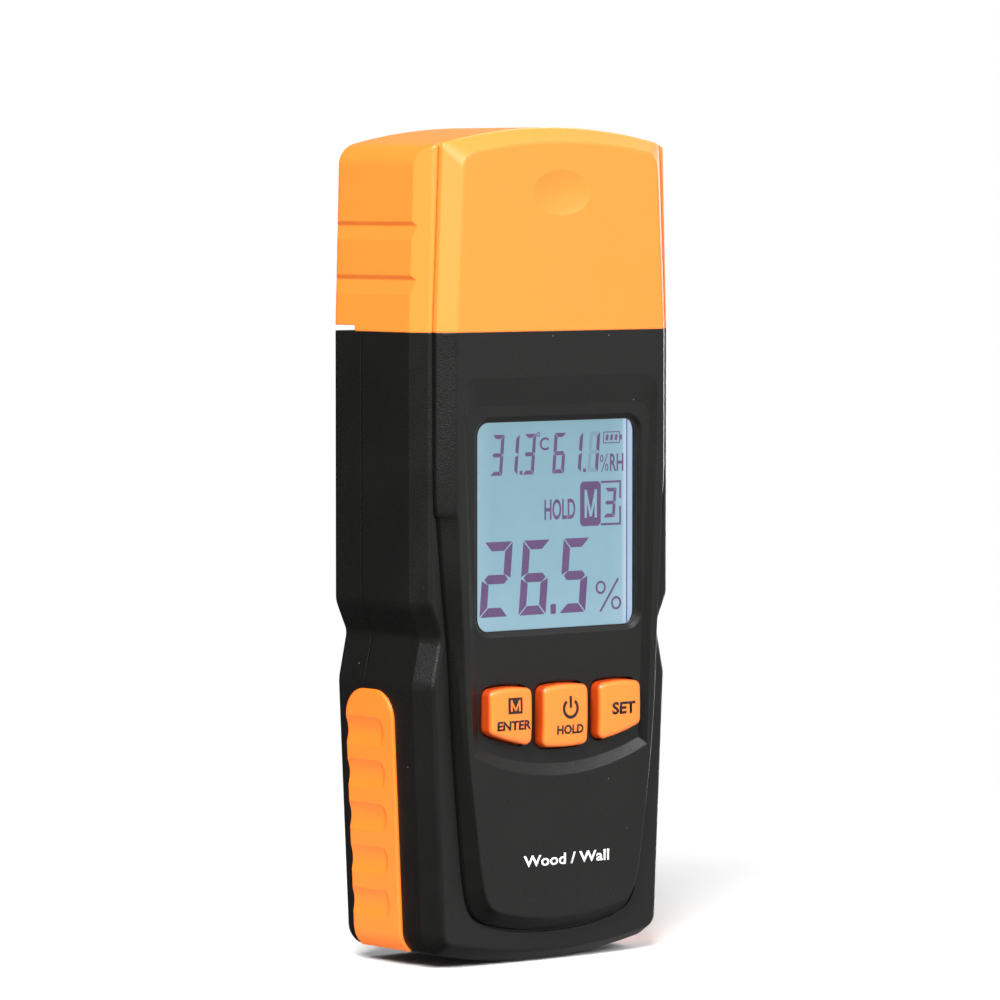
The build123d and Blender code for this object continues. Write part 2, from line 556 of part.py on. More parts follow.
def probe_nuts():
    """Hexagonal collars that clamp the needles to the neck."""
    solids = []
    for x in (-PIN_X, PIN_X):
        base = Plane.XY.offset(NECK_TOP_Z + COLLAR_H) * Pos(x, PIN_Y) * RegularPolygon(2.9, 6)
        nut = extrude(base, amount=NUT_H)
        nut = nut & (Pos(x, PIN_Y, NECK_TOP_Z + COLLAR_H - 0.7 + NUT_H / 2) * Cone(4.6, 2.2, NUT_H + 1.4))
        solids.append(nut - post(x, PIN_Y, SHANK_R, NECK_TOP_Z, NECK_TOP_Z + COLLAR_H + NUT_H + 1))
    return Compound(children=solids)


def arc_radii(points):
    """The largest arc for each corner of a route: 0.45 of its shorter run, for its turn."""
    radii = []
    for before, corner, after in zip(points, points[1:], points[2:]):
        run_in = Vector(*corner) - Vector(*before)
        run_out = Vector(*after) - Vector(*corner)
        half_turn = radians(run_in.get_angle(run_out) / 2)
        radii.append(0.45 * min(run_in.length, run_out.length) / tan(half_turn))
    return radii


def wire(points, radius=0.6):
    """An insulated lead along straight runs joined by arcs as large as the runs allow."""
    radii = arc_radii(points)
    path = FilletPolyline(*points, radius=radii)
    start = Plane(origin=points[0], z_dir=Vector(*points[1]) - Vector(*points[0]))
    print("lead", round(path.length, 1), "mm, radii", [round(r, 1) for r in radii])
    return sweep(start * Circle(radius), path=path)


def probe_lead(side):
    """Insulated lead from the foot of a needle down to the board."""
    x = side * PIN_X
    end = side * LEAD_END_X
    points = [(x, PIN_Y, NECK_TOP_Z - 6), (x, PIN_Y, 114.0), (end, -1.2, 104.5), (end, BOARD_BACK, 104.5)]
    return wire(points)


def battery_lead(side):
    """Lead from a contact plate in the bay up to the board."""
    x = side * (BAY_HALF - 2.0)
    end = side * 16.4
    points = [(x, BAY_Y0, 50.0), (x, -1.0, 50.0), (end, -1.2, 62.0), (end, BOARD_BACK, 62.0)]
    return wire(points)


def sensor_module():
    """Air temperature and humidity sensor on its small board under the slots of the neck."""
    carrier = block(-5.5, 5.5, PIN_Y - 3.6, PIN_Y + 3.6, NECK_TOP_Z - 4.4, NECK_TOP_Z - 3.4)
    return carrier + block(-1.5, 1.5, PIN_Y - 1.5, PIN_Y + 1.5, NECK_TOP_Z - 3.4, NECK_TOP_Z - 2.3)


def cell_direction(index):
    """+1 where the cell's button end is at the top, -1 where the cell is turned round."""
    return 1 if index % 2 == 0 else -1


def battery_cell(index):
    """One AAA cell: a can with a rolled edge and the button of its positive end."""
    x = (index - 1) * CELL_PITCH
    up = cell_direction(index)
    can = post(x, CELL_Y, CELL_R, 0, CELL_LEN - 0.9)
    can = fillet(can.edges(), 0.4)
    button = post(x, CELL_Y, 1.9, CELL_LEN - 1.2, CELL_LEN)
    cell = can + fillet(button.faces().sort_by(Axis.Z)[-1].edges(), 0.3)
    if up > 0:
        return Pos(0, 0, BAY_Z0 + PLATE_T + SPRING_H) * cell
    middle = (BAY_Z1 - PLATE_T - SPRING_H)
    return Pos(0, 0, middle) * cell.rotate(Axis((x, CELL_Y, 0), (0, 1, 0)), 180)


def battery_springs():
    """Coil springs against the flat ends of the cells."""
    solids = []
    for index in range(3):
        x = (index - 1) * CELL_PITCH
        low = BAY_Z0 + PLATE_T if cell_direction(index) > 0 else BAY_Z1 - PLATE_T - SPRING_H
        coil = Helix(pitch=1.1, height=SPRING_H - 2 * WIRE_R, radius=SPRING_R)
        section = Plane(origin=coil @ 0, z_dir=coil % 0) * Circle(WIRE_R)
        solids.append(Pos(x, CELL_Y, low + WIRE_R) * sweep(section, path=coil, is_frenet=True))
    return Compound(children=solids)


def battery_contacts():
    """Plated contact plates at both ends of the bay: two bridges and two end plates."""
    low = BAY_Z0 + PLATE_T / 2
    high = BAY_Z1 - PLATE_T / 2
    spans = [(-BAY_HALF + 0.6, -6.0, low), (-5.0, BAY_HALF - 0.6, low),
             (-BAY_HALF + 0.6, 5.0, high), (6.0, BAY_HALF - 0.6, high)]
    solids = [block(x0, x1, CELL_Y - 4.0, CELL_Y + 4.0, z - PLATE_T / 2, z + PLATE_T / 2)
              for x0, x1, z in spans]
    return Compound(children=solids)


def door_pad():
    """Foam strip inside the door that keeps the cells from rattling."""
    return block(-14.0, 14.0, CELL_Y + CELL_R + 0.1, BACK_Y - DOOR_T, 27.0, 37.0)


def rear_label():
    """Blank rating plate in its shallow seat above the battery door."""
    seat = RectangleRounded(LABEL_W - 0.6, LABEL_H - 0.6, 1.2)
    return slab(Pos(0, LABEL_Z) * seat, BACK_Y - 0.05, BACK_Y - LABEL_T)


def cap_body():
    """The closed outer form of the cap: bevelled sides that run out under a domed top."""
    over_z = HEIGHT + 12
    over_x = HALF_W - (HALF_W - CAP_TOP_HALF) * (over_z - SEAM_Z) / (HEIGHT - SEAM_Z)
    sides = Polyline((HALF_W, SEAM_Z), (over_x, over_z), (-over_x, over_z), (-HALF_W, SEAM_Z), close=True)
    tall = bevelled(make_face(sides), lambda edge: abs(edge.center().X) < 20)
    body = tall & slab(cap_outline(), 20, -20)
    body = fillet([edge for edge in crown_edges(body) if (edge @ 0.5).Y < 0], CROWN_FRONT_R)
    return fillet([edge for edge in crown_edges(body) if (edge @ 0.5).Y > 0], CROWN_BACK_R)


def crown_edges(shape):
    """The edges that run across a shape along the cap's domed top, not those along its depth."""
    outline = cap_outline().face().outer_wire()
    chosen = []
    for edge in shape.edges():
        middle, run = edge @ 0.5, (edge @ 1) - (edge @ 0)
        on_crown = middle.Z > CAP_TOP_EDGE_Z and Vertex(middle.X, middle.Z, 0).distance_to(outline) < 0.02
        if on_crown and abs(run.Y) < 0.8 * run.length:
            chosen.append(edge)
    return chosen


def cap_panel():
    """The raised panel carried on over the cap, with its top edge softened."""
    panel = raised_panel(cap_panel_outline) & slab(cap_outline(), 20, -20)
    return fillet([edge for edge in crown_edges(panel) if (edge @ 0.5).Y < BASE_Y + 0.3], PANEL_TOP_R)


def cap():
    """The push-on cap: the body's section carried on, hollow, with ribs that grip the neck."""
    shell = cap_body()
    shell -= slab(offset(cap_panel_outline(0), GROOVE_W), PANEL_BASE_Y, BASE_Y - 5)
    shell += cap_panel()
    shell -= Pos(0, FACE_Y - DIMPLE_R + DIMPLE_DEPTH, DIMPLE_Z) * scale(Sphere(DIMPLE_R), by=(1, 1, 0.62))

    shell -= slab(cap_outline(CAP_WALL, SEAM_Z - 3), BACK_Y - CAP_WALL, INNER_BASE_Y)
    shell -= block(-40, 40, REAR_GAP_Y, 30, SEAM_Z - 1, SEAM_Z + REAR_GAP)
    for z in NOTCHES:
        for side in (-1, 1):
            shell -= grip_notch(side, z)
    for x in (-18.0, 0.0, 18.0):
        shell += cap_rib(x - 0.6, x + 0.6, INNER_BASE_Y - 1, NECK_Y0 - FIT)
        shell += cap_rib(x - 0.6, x + 0.6, NECK_Y1 + FIT, BACK_Y - CAP_WALL + 1)
    for y in (-4.0, 6.0):
        shell += cap_rib(-HALF_W + 1.5, -NECK_HALF - FIT, y - 0.6, y + 0.6)
        shell += cap_rib(NECK_HALF + FIT, HALF_W - 1.5, y - 0.6, y + 0.6)
    return shell


def cap_rib(x0, x1, y0, y1):
    """A standing rib inside the cap."""
    return block(x0, x1, y0, y1, SEAM_Z + 1.5, SEAM_Z + 16.0)


def grip_notch(side, z):
    """A saw-tooth step across the side of the cap: a short ledge, then a slope back out."""
    half = HALF_W - (HALF_W - CAP_TOP_HALF) * (z - SEAM_Z) / (HEIGHT - SEAM_Z)
    tooth = Polyline((side * (half + 2), z), (side * half, z), (side * (half - NOTCH_DEPTH), z - 0.9),
                     (side * (half + 0.1), z - 3.8), (side * (half + 2), z - 3.8), close=True)
    return slab(make_face(tooth), BACK_Y + 1, BASE_Y - 1)


PIECES = {
    "front_shell": front_shell,
    "rear_shell": rear_shell,
    "display_lens": display_lens,
    "lens_gasket": lens_gasket,
    "lcd_panel": lcd_panel,
    "lcd_backlight": lcd_backlight,
    "lcd_frame": lcd_frame,
    "contact_strip": contact_strip,
    "circuit_board": circuit_board,
    "board_chips": board_chips,
    "board_parts": board_parts,
    "probe_head": probe_head,
    "probe_nuts": probe_nuts,
    "sensor_module": sensor_module,
    "battery_springs": battery_springs,
    "battery_contacts": battery_contacts,
    "battery_door": battery_door,
    "door_pad": door_pad,
    "rear_label": rear_label,
    "cap": cap,
}


def write(name, shape):
    """Writes one piece and reports its size."""
    export_step(shape, f"parts/{name}.step")
    print(f"{name:18s} volume {shape.volume:9.1f} mm3")


def write_all():
    """Writes every piece of the meter."""
    for name, make in PIECES.items():
        write(name, make())
    for side, hand in ((-1, "left"), (1, "right")):
        write(f"grip_{hand}", grip(side))
        write(f"probe_pin_{hand}", probe_pin(side))
        write(f"probe_lead_{hand}", probe_lead(side))
        write(f"battery_lead_{hand}", battery_lead(side))
    for name in KEYS:
        write(f"key_{name}", key(name))
        write(f"switch_{name}", switch_body(name))
        write(f"plunger_{name}", plunger(name))
    for index in range(3):
        write(f"battery_{index + 1}", battery_cell(index))
    case_screws = [screw(x, z, HEAD_R, 1.8, HEAD_SEAT_Y, SCREW_TIP_Y) for x, z in CASE_SCREWS]
    write("case_screws", Compound(children=case_screws))
    board_screws = [screw(x, z, 2.1, 1.3, BOARD_BACK, BOARD_BACK - 6.0) for x, z in BOARD_SCREWS]
    write("board_screws", Compound(children=board_screws))


write_all()
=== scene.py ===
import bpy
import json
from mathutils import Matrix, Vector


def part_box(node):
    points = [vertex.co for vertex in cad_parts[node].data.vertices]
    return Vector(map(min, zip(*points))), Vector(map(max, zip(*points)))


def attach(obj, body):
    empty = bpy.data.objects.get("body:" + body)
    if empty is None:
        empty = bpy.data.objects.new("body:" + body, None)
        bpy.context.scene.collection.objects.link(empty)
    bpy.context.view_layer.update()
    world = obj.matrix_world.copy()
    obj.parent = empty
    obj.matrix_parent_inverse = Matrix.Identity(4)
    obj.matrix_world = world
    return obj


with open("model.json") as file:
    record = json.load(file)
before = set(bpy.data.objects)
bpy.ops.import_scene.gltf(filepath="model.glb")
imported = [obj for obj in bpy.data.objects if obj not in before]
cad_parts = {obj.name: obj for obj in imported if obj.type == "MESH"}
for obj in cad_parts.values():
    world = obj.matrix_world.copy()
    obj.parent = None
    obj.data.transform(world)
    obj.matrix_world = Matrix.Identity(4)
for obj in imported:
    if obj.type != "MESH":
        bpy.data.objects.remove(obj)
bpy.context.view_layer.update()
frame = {"nodes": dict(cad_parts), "record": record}

# %% [markdown]
# # A pin moisture meter
# This is a hand-held meter for wood and walls. It has a black moulded case, orange rubber grips,
# an orange cap that lifts off two steel needles, three orange keys and a backlit display.
# The engineering model is already loaded as named nodes at their real size, in metres.
# Here those nodes get their finishes, and the printed and lit details are modelled on top.

# %% What was loaded
import json
from math import cos, pi, radians, sin

import bpy
from mathutils import Matrix, Vector

MM = 0.001
nodes = frame["nodes"]

# %% [markdown]
# ## Camera
# A long lens from a little above keeps the upright edges nearly parallel, as in a catalogue view.
# It could be aimed with a constraint, but a plain place and turn stay put in every other view.
# The meter is seen from its front and its left-hand side.

# %% Camera
LOOK_LEFT = radians(39.15)      # how far round to the left the camera stands
LOOK_DOWN = radians(3.08)
CAMERA_AWAY = 1.1178            # level distance from the meter's axis
CAMERA_ASIDE = -0.0026
CAMERA_Z = 0.1484
FOCAL_MM = 208.7

level_away = Vector((-sin(LOOK_LEFT), -cos(LOOK_LEFT), 0)) * CAMERA_AWAY
level_aside = Vector((cos(LOOK_LEFT), -sin(LOOK_LEFT), 0)) * CAMERA_ASIDE
bpy.ops.object.camera_add(
    location=level_away + level_aside + Vector((0, 0, CAMERA_Z)),
    rotation=(pi / 2 - LOOK_DOWN, 0, -LOOK_LEFT))
camera = bpy.context.object
camera.name = "camera"
camera.data.lens = FOCAL_MM
camera.data.sensor_width = 36
camera.data.clip_start = 0.05
bpy.context.scene.camera = camera
print("camera at", [round(v, 3) for v in camera.location])

# %% [markdown]
# ## Floor and light
# The meter stands on a plain pale floor in a white room. A large soft lamp high on the left lights
# the top, the side and the front alike, and a second one on the right fills the front and glances
# off the slopes that face up.
# Tall narrow lamps at either side draw the thin bright lines along the upright edges, and a small
# one high at the back draws those on the level edges.
# Black satin plastic shows what it mirrors more than its own colour, so the room is graded: bright
# to the right, which the front face mirrors, and dim to the left, which the side mirrors.
# The floor is kept out of the mirror images for the same reason.
# The floor turns clear away from the meter, so that it has no horizon.

# %% Floor
FLOOR_SIZE = 8.0
FADE_START, FADE_END = 0.07, 0.34       # how far from the meter the floor turns clear


def deselect_all():
    bpy.ops.object.select_all(action="DESELECT")


def add(tree, kind, **values):
    """Adds a node, and sets its properties and the defaults of its inputs by name."""
    node = tree.nodes.new(kind)
    for key, value in values.items():
        if hasattr(node, key):
            setattr(node, key, value)
        else:
            node.inputs[key.replace("_", " ")].default_value = value
    return node


def link(tree, source, target):
    tree.links.new(source, target)


deselect_all()
bpy.ops.mesh.primitive_plane_add(size=FLOOR_SIZE, location=(0, 0, 0))
floor = bpy.context.object
floor.name = "floor"
floor.visible_glossy = False

floor_paint = bpy.data.materials.new("floor_paint")
floor_paint.use_nodes = True
tree = floor_paint.node_tree
shader = tree.nodes["Principled BSDF"]
shader.inputs["Base Color"].default_value = (0.86, 0.86, 0.86, 1)
shader.inputs["Roughness"].default_value = 0.9
shader.inputs["Specular IOR Level"].default_value = 0.1
where = add(tree, "ShaderNodeTexCoord")
reach = add(tree, "ShaderNodeVectorMath", operation="LENGTH")
link(tree, where.outputs["Object"], reach.inputs[0])
fade = add(tree, "ShaderNodeMapRange", From_Min=FADE_START, From_Max=FADE_END, To_Min=1.0,
           To_Max=0.0)
link(tree, reach.outputs["Value"], fade.inputs["Value"])
link(tree, fade.outputs["Result"], shader.inputs["Alpha"])
floor.data.materials.append(floor_paint)
print("floor:", FLOOR_SIZE, "m across, clear from", FADE_END, "m outwards")

# %% Lamps
MIDDLE = (0, 0, 0.08)           # the middle of the meter, which most lamps face


def soft_lamp(name, place, aim, size, power, height=None):
    """A flat lamp at a place, turned to face a point: square, or tall and narrow."""
    turn = (Vector(aim) - Vector(place)).to_track_quat("-Z", "Y").to_euler()
    bpy.ops.object.light_add(type="AREA", location=place, rotation=turn)
    lamp = bpy.context.object
    lamp.name = name
    lamp.data.shape = "RECTANGLE"
    lamp.data.size = size
    lamp.data.size_y = height or size
    lamp.data.energy = power
    return lamp


main_lamp = soft_lamp("main_lamp", (-0.68, -0.57, 0.81), MIDDLE, 0.55, 28.0)
fill_lamp = soft_lamp("fill_lamp", (0.34, -0.98, 0.68), MIDDLE, 0.32, 5.5)
left_strip = soft_lamp("left_strip", (-0.98, 0.46, 0.25), (0, 0, 0.1), 0.05, 0.9, 0.9)
right_strip = soft_lamp("right_strip", (1.0, 0.44, 0.25), (0, 0, 0.1), 0.10, 4.0, 0.9)
back_lamp = soft_lamp("back_lamp", (0.62, 0.40, 0.80), MIDDLE, 0.25, 2.2)
lamps = (main_lamp, fill_lamp, left_strip, right_strip, back_lamp)
print("lamps:", [lamp.name for lamp in lamps])

# %% [markdown]
# The world colour is worked out from the direction that a ray leaves in: a dot product with the
# bright side runs from -1 to 1 and is mapped to a dim and a bright white. Rays that come straight
# from the camera see plain white instead, which the Light Path node tells apart.

# %% World
BRIGHT_SIDE = Vector((0.90, -0.34, 0.25)).normalized()
DIM, BRIGHT = 0.04, 0.60        # strength away from the bright side, and towards it

world = bpy.data.worlds.new("white_room")
bpy.context.scene.world = world
world.use_nodes = True
room = world.node_tree
room.nodes.clear()

direction = add(room, "ShaderNodeTexCoord")
facing = add(room, "ShaderNodeVectorMath", operation="DOT_PRODUCT")
facing.inputs[1].default_value = BRIGHT_SIDE
link(room, direction.outputs["Generated"], facing.inputs[0])
grade = add(room, "ShaderNodeMapRange", From_Min=0.0, From_Max=0.75, To_Min=DIM, To_Max=BRIGHT)
link(room, facing.outputs["Value"], grade.inputs["Value"])
graded = add(room, "ShaderNodeBackground")
link(room, grade.outputs["Result"], graded.inputs["Strength"])
plain = add(room, "ShaderNodeBackground", Strength=1.0)
plain.inputs["Color"].default_value = (1, 1, 1, 1)
graded.inputs["Color"].default_value = (1, 1, 1, 1)
path = add(room, "ShaderNodeLightPath")
choose = add(room, "ShaderNodeMixShader")
link(room, path.outputs["Is Camera Ray"], choose.inputs["Fac"])
link(room, graded.outputs["Background"], choose.inputs[1])
link(room, plain.outputs["Background"], choose.inputs[2])
room_out = add(room, "ShaderNodeOutputWorld")
link(room, choose.outputs["Shader"], room_out.inputs["Surface"])
bpy.context.scene.view_settings.view_transform = "Standard"
print("world nodes:", len(room.nodes))

# %% [markdown]
# ## Effects shared by the finishes
# Four effects come back in many materials, so each is a node group that is built once and placed
# with its own numbers: the fine grain that a spark-eroded mould leaves, the softened edge that
# every moulded or machined part has, slow uneven colour, and a few light specks that are partly
# dust and partly painted glints.

# %% A helper for node groups
def new_group(name, inputs, outputs):
    """An empty node group with float inputs and the named outputs."""
    tree = bpy.data.node_groups.new(name, "ShaderNodeTree")
    for label, value in inputs.items():
        socket = tree.interface.new_socket(label, in_out="INPUT", socket_type="NodeSocketFloat")
        socket.default_value = value
    for label, kind in outputs.items():
        tree.interface.new_socket(label, in_out="OUTPUT", socket_type=kind)
    return tree, tree.nodes.new("NodeGroupInput"), tree.nodes.new("NodeGroupOutput")


VALUE, VECTOR = "NodeSocketFloat", "NodeSocketVector"

# %% Spark grain
grain_tree, grain_in, grain_out = new_group(
    "spark_grain", {"Scale": 2600.0}, {"Height": VALUE, "Glint": VALUE})
place = add(grain_tree, "ShaderNodeTexCoord")
pits = add(grain_tree, "ShaderNodeTexNoise", Detail=3.0, Roughness=0.62)
crystals = add(grain_tree, "ShaderNodeTexVoronoi", feature="F1")
for texture in (pits, crystals):
    link(grain_tree, place.outputs["Object"], texture.inputs["Vector"])
    link(grain_tree, grain_in.outputs["Scale"], texture.inputs["Scale"])
both = add(grain_tree, "ShaderNodeMath", operation="MULTIPLY_ADD")
both.inputs[1].default_value = -0.45
link(grain_tree, crystals.outputs["Distance"], both.inputs[0])
link(grain_tree, pits.outputs["Fac"], both.inputs[2])
link(grain_tree, both.outputs["Value"], grain_out.inputs["Height"])
glint = add(grain_tree, "ShaderNodeMapRange", From_Min=0.60, From_Max=0.74, To_Min=0.0, To_Max=1.0)
link(grain_tree, pits.outputs["Fac"], glint.inputs["Value"])
link(grain_tree, glint.outputs["Result"], grain_out.inputs["Glint"])

# %% Softened edges
edge_tree, edge_in, edge_out = new_group(
    "soft_edge", {"Radius": 0.0003}, {"Normal": VECTOR, "Edge": VALUE})
rounded = add(edge_tree, "ShaderNodeBevel", samples=6)
link(edge_tree, edge_in.outputs["Radius"], rounded.inputs["Radius"])
link(edge_tree, rounded.outputs["Normal"], edge_out.inputs["Normal"])
surface = add(edge_tree, "ShaderNodeNewGeometry")
agree = add(edge_tree, "ShaderNodeVectorMath", operation="DOT_PRODUCT")
link(edge_tree, rounded.outputs["Normal"], agree.inputs[0])
link(edge_tree, surface.outputs["Normal"], agree.inputs[1])
edge = add(edge_tree, "ShaderNodeMapRange", From_Min=0.99, From_Max=0.86, To_Min=0.0, To_Max=1.0)
link(edge_tree, agree.outputs["Value"], edge.inputs["Value"])
link(edge_tree, edge.outputs["Result"], edge_out.inputs["Edge"])

# %% Slow uneven colour
mottle_tree, mottle_in, mottle_out = new_group(
    "mottle", {"Scale": 60.0, "Amount": 0.1}, {"Light": VALUE, "Rough": VALUE})
place = add(mottle_tree, "ShaderNodeTexCoord")
clouds = add(mottle_tree, "ShaderNodeTexNoise", Detail=4.0, Roughness=0.55)
link(mottle_tree, place.outputs["Object"], clouds.inputs["Vector"])
link(mottle_tree, mottle_in.outputs["Scale"], clouds.inputs["Scale"])
centred = add(mottle_tree, "ShaderNodeMath", operation="SUBTRACT")
centred.inputs[1].default_value = 0.5
link(mottle_tree, clouds.outputs["Fac"], centred.inputs[0])
swing = add(mottle_tree, "ShaderNodeMath", operation="MULTIPLY")
link(mottle_tree, centred.outputs["Value"], swing.inputs[0])
link(mottle_tree, mottle_in.outputs["Amount"], swing.inputs[1])
light = add(mottle_tree, "ShaderNodeMath", operation="ADD")
light.inputs[1].default_value = 1.0
link(mottle_tree, swing.outputs["Value"], light.inputs[0])
link(mottle_tree, light.outputs["Value"], mottle_out.inputs["Light"])
link(mottle_tree, swing.outputs["Value"], mottle_out.inputs["Rough"])

# %% Dust specks and painted glints
dust_glint_tree, dust_glint_in, dust_glint_out = new_group(
    "dust_and_glint_specks", {"Scale": 420.0, "Share": 0.1}, {"Mask": VALUE})
place = add(dust_glint_tree, "ShaderNodeTexCoord")
cells = add(dust_glint_tree, "ShaderNodeTexVoronoi", feature="F1")
link(dust_glint_tree, place.outputs["Object"], cells.inputs["Vector"])
link(dust_glint_tree, dust_glint_in.outputs["Scale"], cells.inputs["Scale"])
lucky = add(dust_glint_tree, "ShaderNodeSeparateColor")
link(dust_glint_tree, cells.outputs["Color"], lucky.inputs["Color"])
chosen = add(dust_glint_tree, "ShaderNodeMath", operation="LESS_THAN")
link(dust_glint_tree, lucky.outputs["Red"], chosen.inputs[0])
link(dust_glint_tree, dust_glint_in.outputs["Share"], chosen.inputs[1])
speck = add(dust_glint_tree, "ShaderNodeMapRange", From_Min=0.05, From_Max=0.03, To_Min=0.0, To_Max=1.0)
link(dust_glint_tree, cells.outputs["Distance"], speck.inputs["Value"])
dust_glint_mask = add(dust_glint_tree, "ShaderNodeMath", operation="MULTIPLY")
link(dust_glint_tree, chosen.outputs["Value"], dust_glint_mask.inputs[0])
link(dust_glint_tree, speck.outputs["Result"], dust_glint_mask.inputs[1])
link(dust_glint_tree, dust_glint_mask.outputs["Value"], dust_glint_out.inputs["Mask"])
print("groups:", [tree.name for tree in bpy.data.node_groups])

# %% [markdown]
# ## Moulded plastic and rubber
# Most of the meter is injection moulded, so one recipe makes all of those finishes: a base colour
# that drifts slowly, a roughness that follows the grain, fine grain in the bump, edges that are
# rounded in the shading and painted a little lighter as a painted highlight, and light specks that
# are partly dust and partly painted glints. Sides that turn from the front can get a painted shade.
# Only its numbers change between the black case, the orange cap, the keys and the grips.

# %% Helpers for finishes
finishes = {}


def use_group(tree, name, **values):
    """Places a shared effect in a material, with its own numbers."""
    node = tree.nodes.new("ShaderNodeGroup")
    node.node_tree = bpy.data.node_groups[name]
    for label, value in values.items():
        node.inputs[label].default_value = value
    return node


def new_finish(name, specular=0.5, ior=1.5):
    """An empty material, its tree and its main shader. It is kept under its name in finishes."""
    material = bpy.data.materials.new(name)
    material.use_nodes = True
    finishes[name] = material
    shader = material.node_tree.nodes["Principled BSDF"]
    shader.inputs["Specular IOR Level"].default_value = specular
    shader.inputs["IOR"].default_value = ior
    return material, material.node_tree, shader


def mix_colour(tree, mask, first, second, blend="MIX"):
    """Mixes two colours by a mask. Each may be a socket or a plain colour."""
    node = add(tree, "ShaderNodeMix", data_type="RGBA", blend_type=blend)
    sockets = (node.inputs[0], node.inputs[6], node.inputs[7])
    for socket, value in zip(sockets, (mask, first, second)):
        if isinstance(value, (tuple, float, int)):
            socket.default_value = (*value, 1) if isinstance(value, tuple) else value
        else:
            link(tree, value, socket)
    return node.outputs[2]


def tinted(tree, colour, mottle):
    """A colour that drifts as the mottle says."""
    return mix_colour(tree, 1.0, colour, mottle.outputs["Light"], "MULTIPLY")


def scaled(tree, source, factor, offset=0.0):
    """source * factor + offset, as one node."""
    node = add(tree, "ShaderNodeMath", operation="MULTIPLY_ADD")
    link(tree, source, node.inputs[0])
    node.inputs[1].default_value = factor
    node.inputs[2].default_value = offset
    return node.outputs["Value"]


def summed(tree, first, second):
    """The sum of two masks, no more than 1."""
    node = add(tree, "ShaderNodeMath", operation="ADD", use_clamp=True)
    link(tree, first, node.inputs[0])
    link(tree, second, node.inputs[1])
    return node.outputs["Value"]


def step(tree, source, low, high):
    """0 below low, 1 above high, and a ramp between."""
    node = add(tree, "ShaderNodeMapRange", From_Min=low, From_Max=high, To_Min=0.0, To_Max=1.0)
    link(tree, source, node.inputs["Value"])
    return node.outputs["Result"]


# %% The moulded recipe
def side_shade_mask(tree):
    """Mask for a painted side shade: 1 where a surface turns away from the front, 0 where it faces
    it.
    """
    surface = add(tree, "ShaderNodeNewGeometry")
    split = add(tree, "ShaderNodeSeparateXYZ")
    link(tree, surface.outputs["Normal"], split.inputs["Vector"])
    return step(tree, split.outputs["Y"], -0.80, -0.15)


def moulded(name, colour, edge_highlight_colour, roughness, grain_scale=2600.0, bump=0.12, edge=0.0003,
            edge_gain=0.3, drift=0.14, dust_glint_share=0.05, side_shade_colour=None, specular=0.5):
    """A moulded plastic or rubber finish, with a painted edge highlight and, where asked, a painted
    side shade.
    """
    material, tree, shader = new_finish(name, specular)
    mottle = use_group(tree, "mottle", Scale=70.0, Amount=drift)
    grain = use_group(tree, "spark_grain", Scale=grain_scale)
    edges = use_group(tree, "soft_edge", Radius=edge)
    specks = use_group(tree, "dust_and_glint_specks", Scale=430.0, Share=dust_glint_share)
    # Edges get a painted highlight: a lighter colour, mixed in by the edge mask times edge_gain.
    edge_share = scaled(tree, edges.outputs["Edge"], edge_gain)
    with_painted_light = mix_colour(tree, edge_share, tinted(tree, colour, mottle), edge_highlight_colour)
    # Where a side colour is given, the sides that turn away from the front get a painted shade.
    if side_shade_colour:
        with_painted_light = mix_colour(tree, side_shade_mask(tree), with_painted_light, side_shade_colour)
    # Light grey specks, partly dust and partly painted glints, are mixed into the colour.
    with_dust_and_glints = mix_colour(tree, scaled(tree, specks.outputs["Mask"], 0.5), with_painted_light, (0.6, 0.58, 0.54))
    link(tree, with_dust_and_glints, shader.inputs["Base Color"])
    rough = scaled(tree, mottle.outputs["Rough"], 0.5, roughness)
    rough = summed(tree, rough, scaled(tree, grain.outputs["Glint"], -0.14))
    link(tree, rough, shader.inputs["Roughness"])
    relief = add(tree, "ShaderNodeBump", Strength=bump, Distance=0.0001)
    link(tree, grain.outputs["Height"], relief.inputs["Height"])
    link(tree, edges.outputs["Normal"], relief.inputs["Normal"])
    link(tree, relief.outputs["Normal"], shader.inputs["Normal"])
    return material


# The second colour of each finish is its painted edge highlight.
moulded("case_black", (0.0050, 0.0050, 0.0046), (0.022, 0.022, 0.021), 0.37, grain_scale=3000.0,
        bump=0.38, edge=0.00022, edge_gain=0.12, drift=0.3, dust_glint_share=0.12, specular=0.42)
moulded("cap_orange", (0.90, 0.232, 0.029), (0.95, 0.29, 0.05), 0.42, grain_scale=2600.0,
        bump=0.10, edge=0.0005, edge_gain=0.4, drift=0.06, dust_glint_share=0.04)
# The keys' sides get a painted shade, a deeper red-orange.
moulded("key_orange", (0.90, 0.195, 0.024), (0.96, 0.30, 0.05), 0.38, grain_scale=3200.0,
        bump=0.08, edge=0.0003, edge_gain=0.3, drift=0.06, dust_glint_share=0.03,
        side_shade_colour=(0.45, 0.045, 0.004))
moulded("grip_orange", (0.90, 0.195, 0.016), (0.94, 0.28, 0.04), 0.45, grain_scale=2200.0,
        bump=0.06, edge=0.0004, edge_gain=0.3, drift=0.07, dust_glint_share=0.05)
moulded("foam_black", (0.012, 0.012, 0.012), (0.03, 0.03, 0.03), 0.9, grain_scale=1500.0,
        bump=0.9, edge=0.0002, specular=0.2)
moulded("inner_plastic", (0.045, 0.045, 0.045), (0.12, 0.12, 0.12), 0.5)
moulded("strip_rubber", (0.30, 0.12, 0.11), (0.4, 0.2, 0.18), 0.7)
moulded("chip_black", (0.015, 0.015, 0.016), (0.05, 0.05, 0.05), 0.42, grain_scale=4200.0, bump=0.2)
moulded("neck_black", (0.016, 0.016, 0.015), (0.07, 0.07, 0.07), 0.38, grain_scale=3200.0,
        bump=0.15)
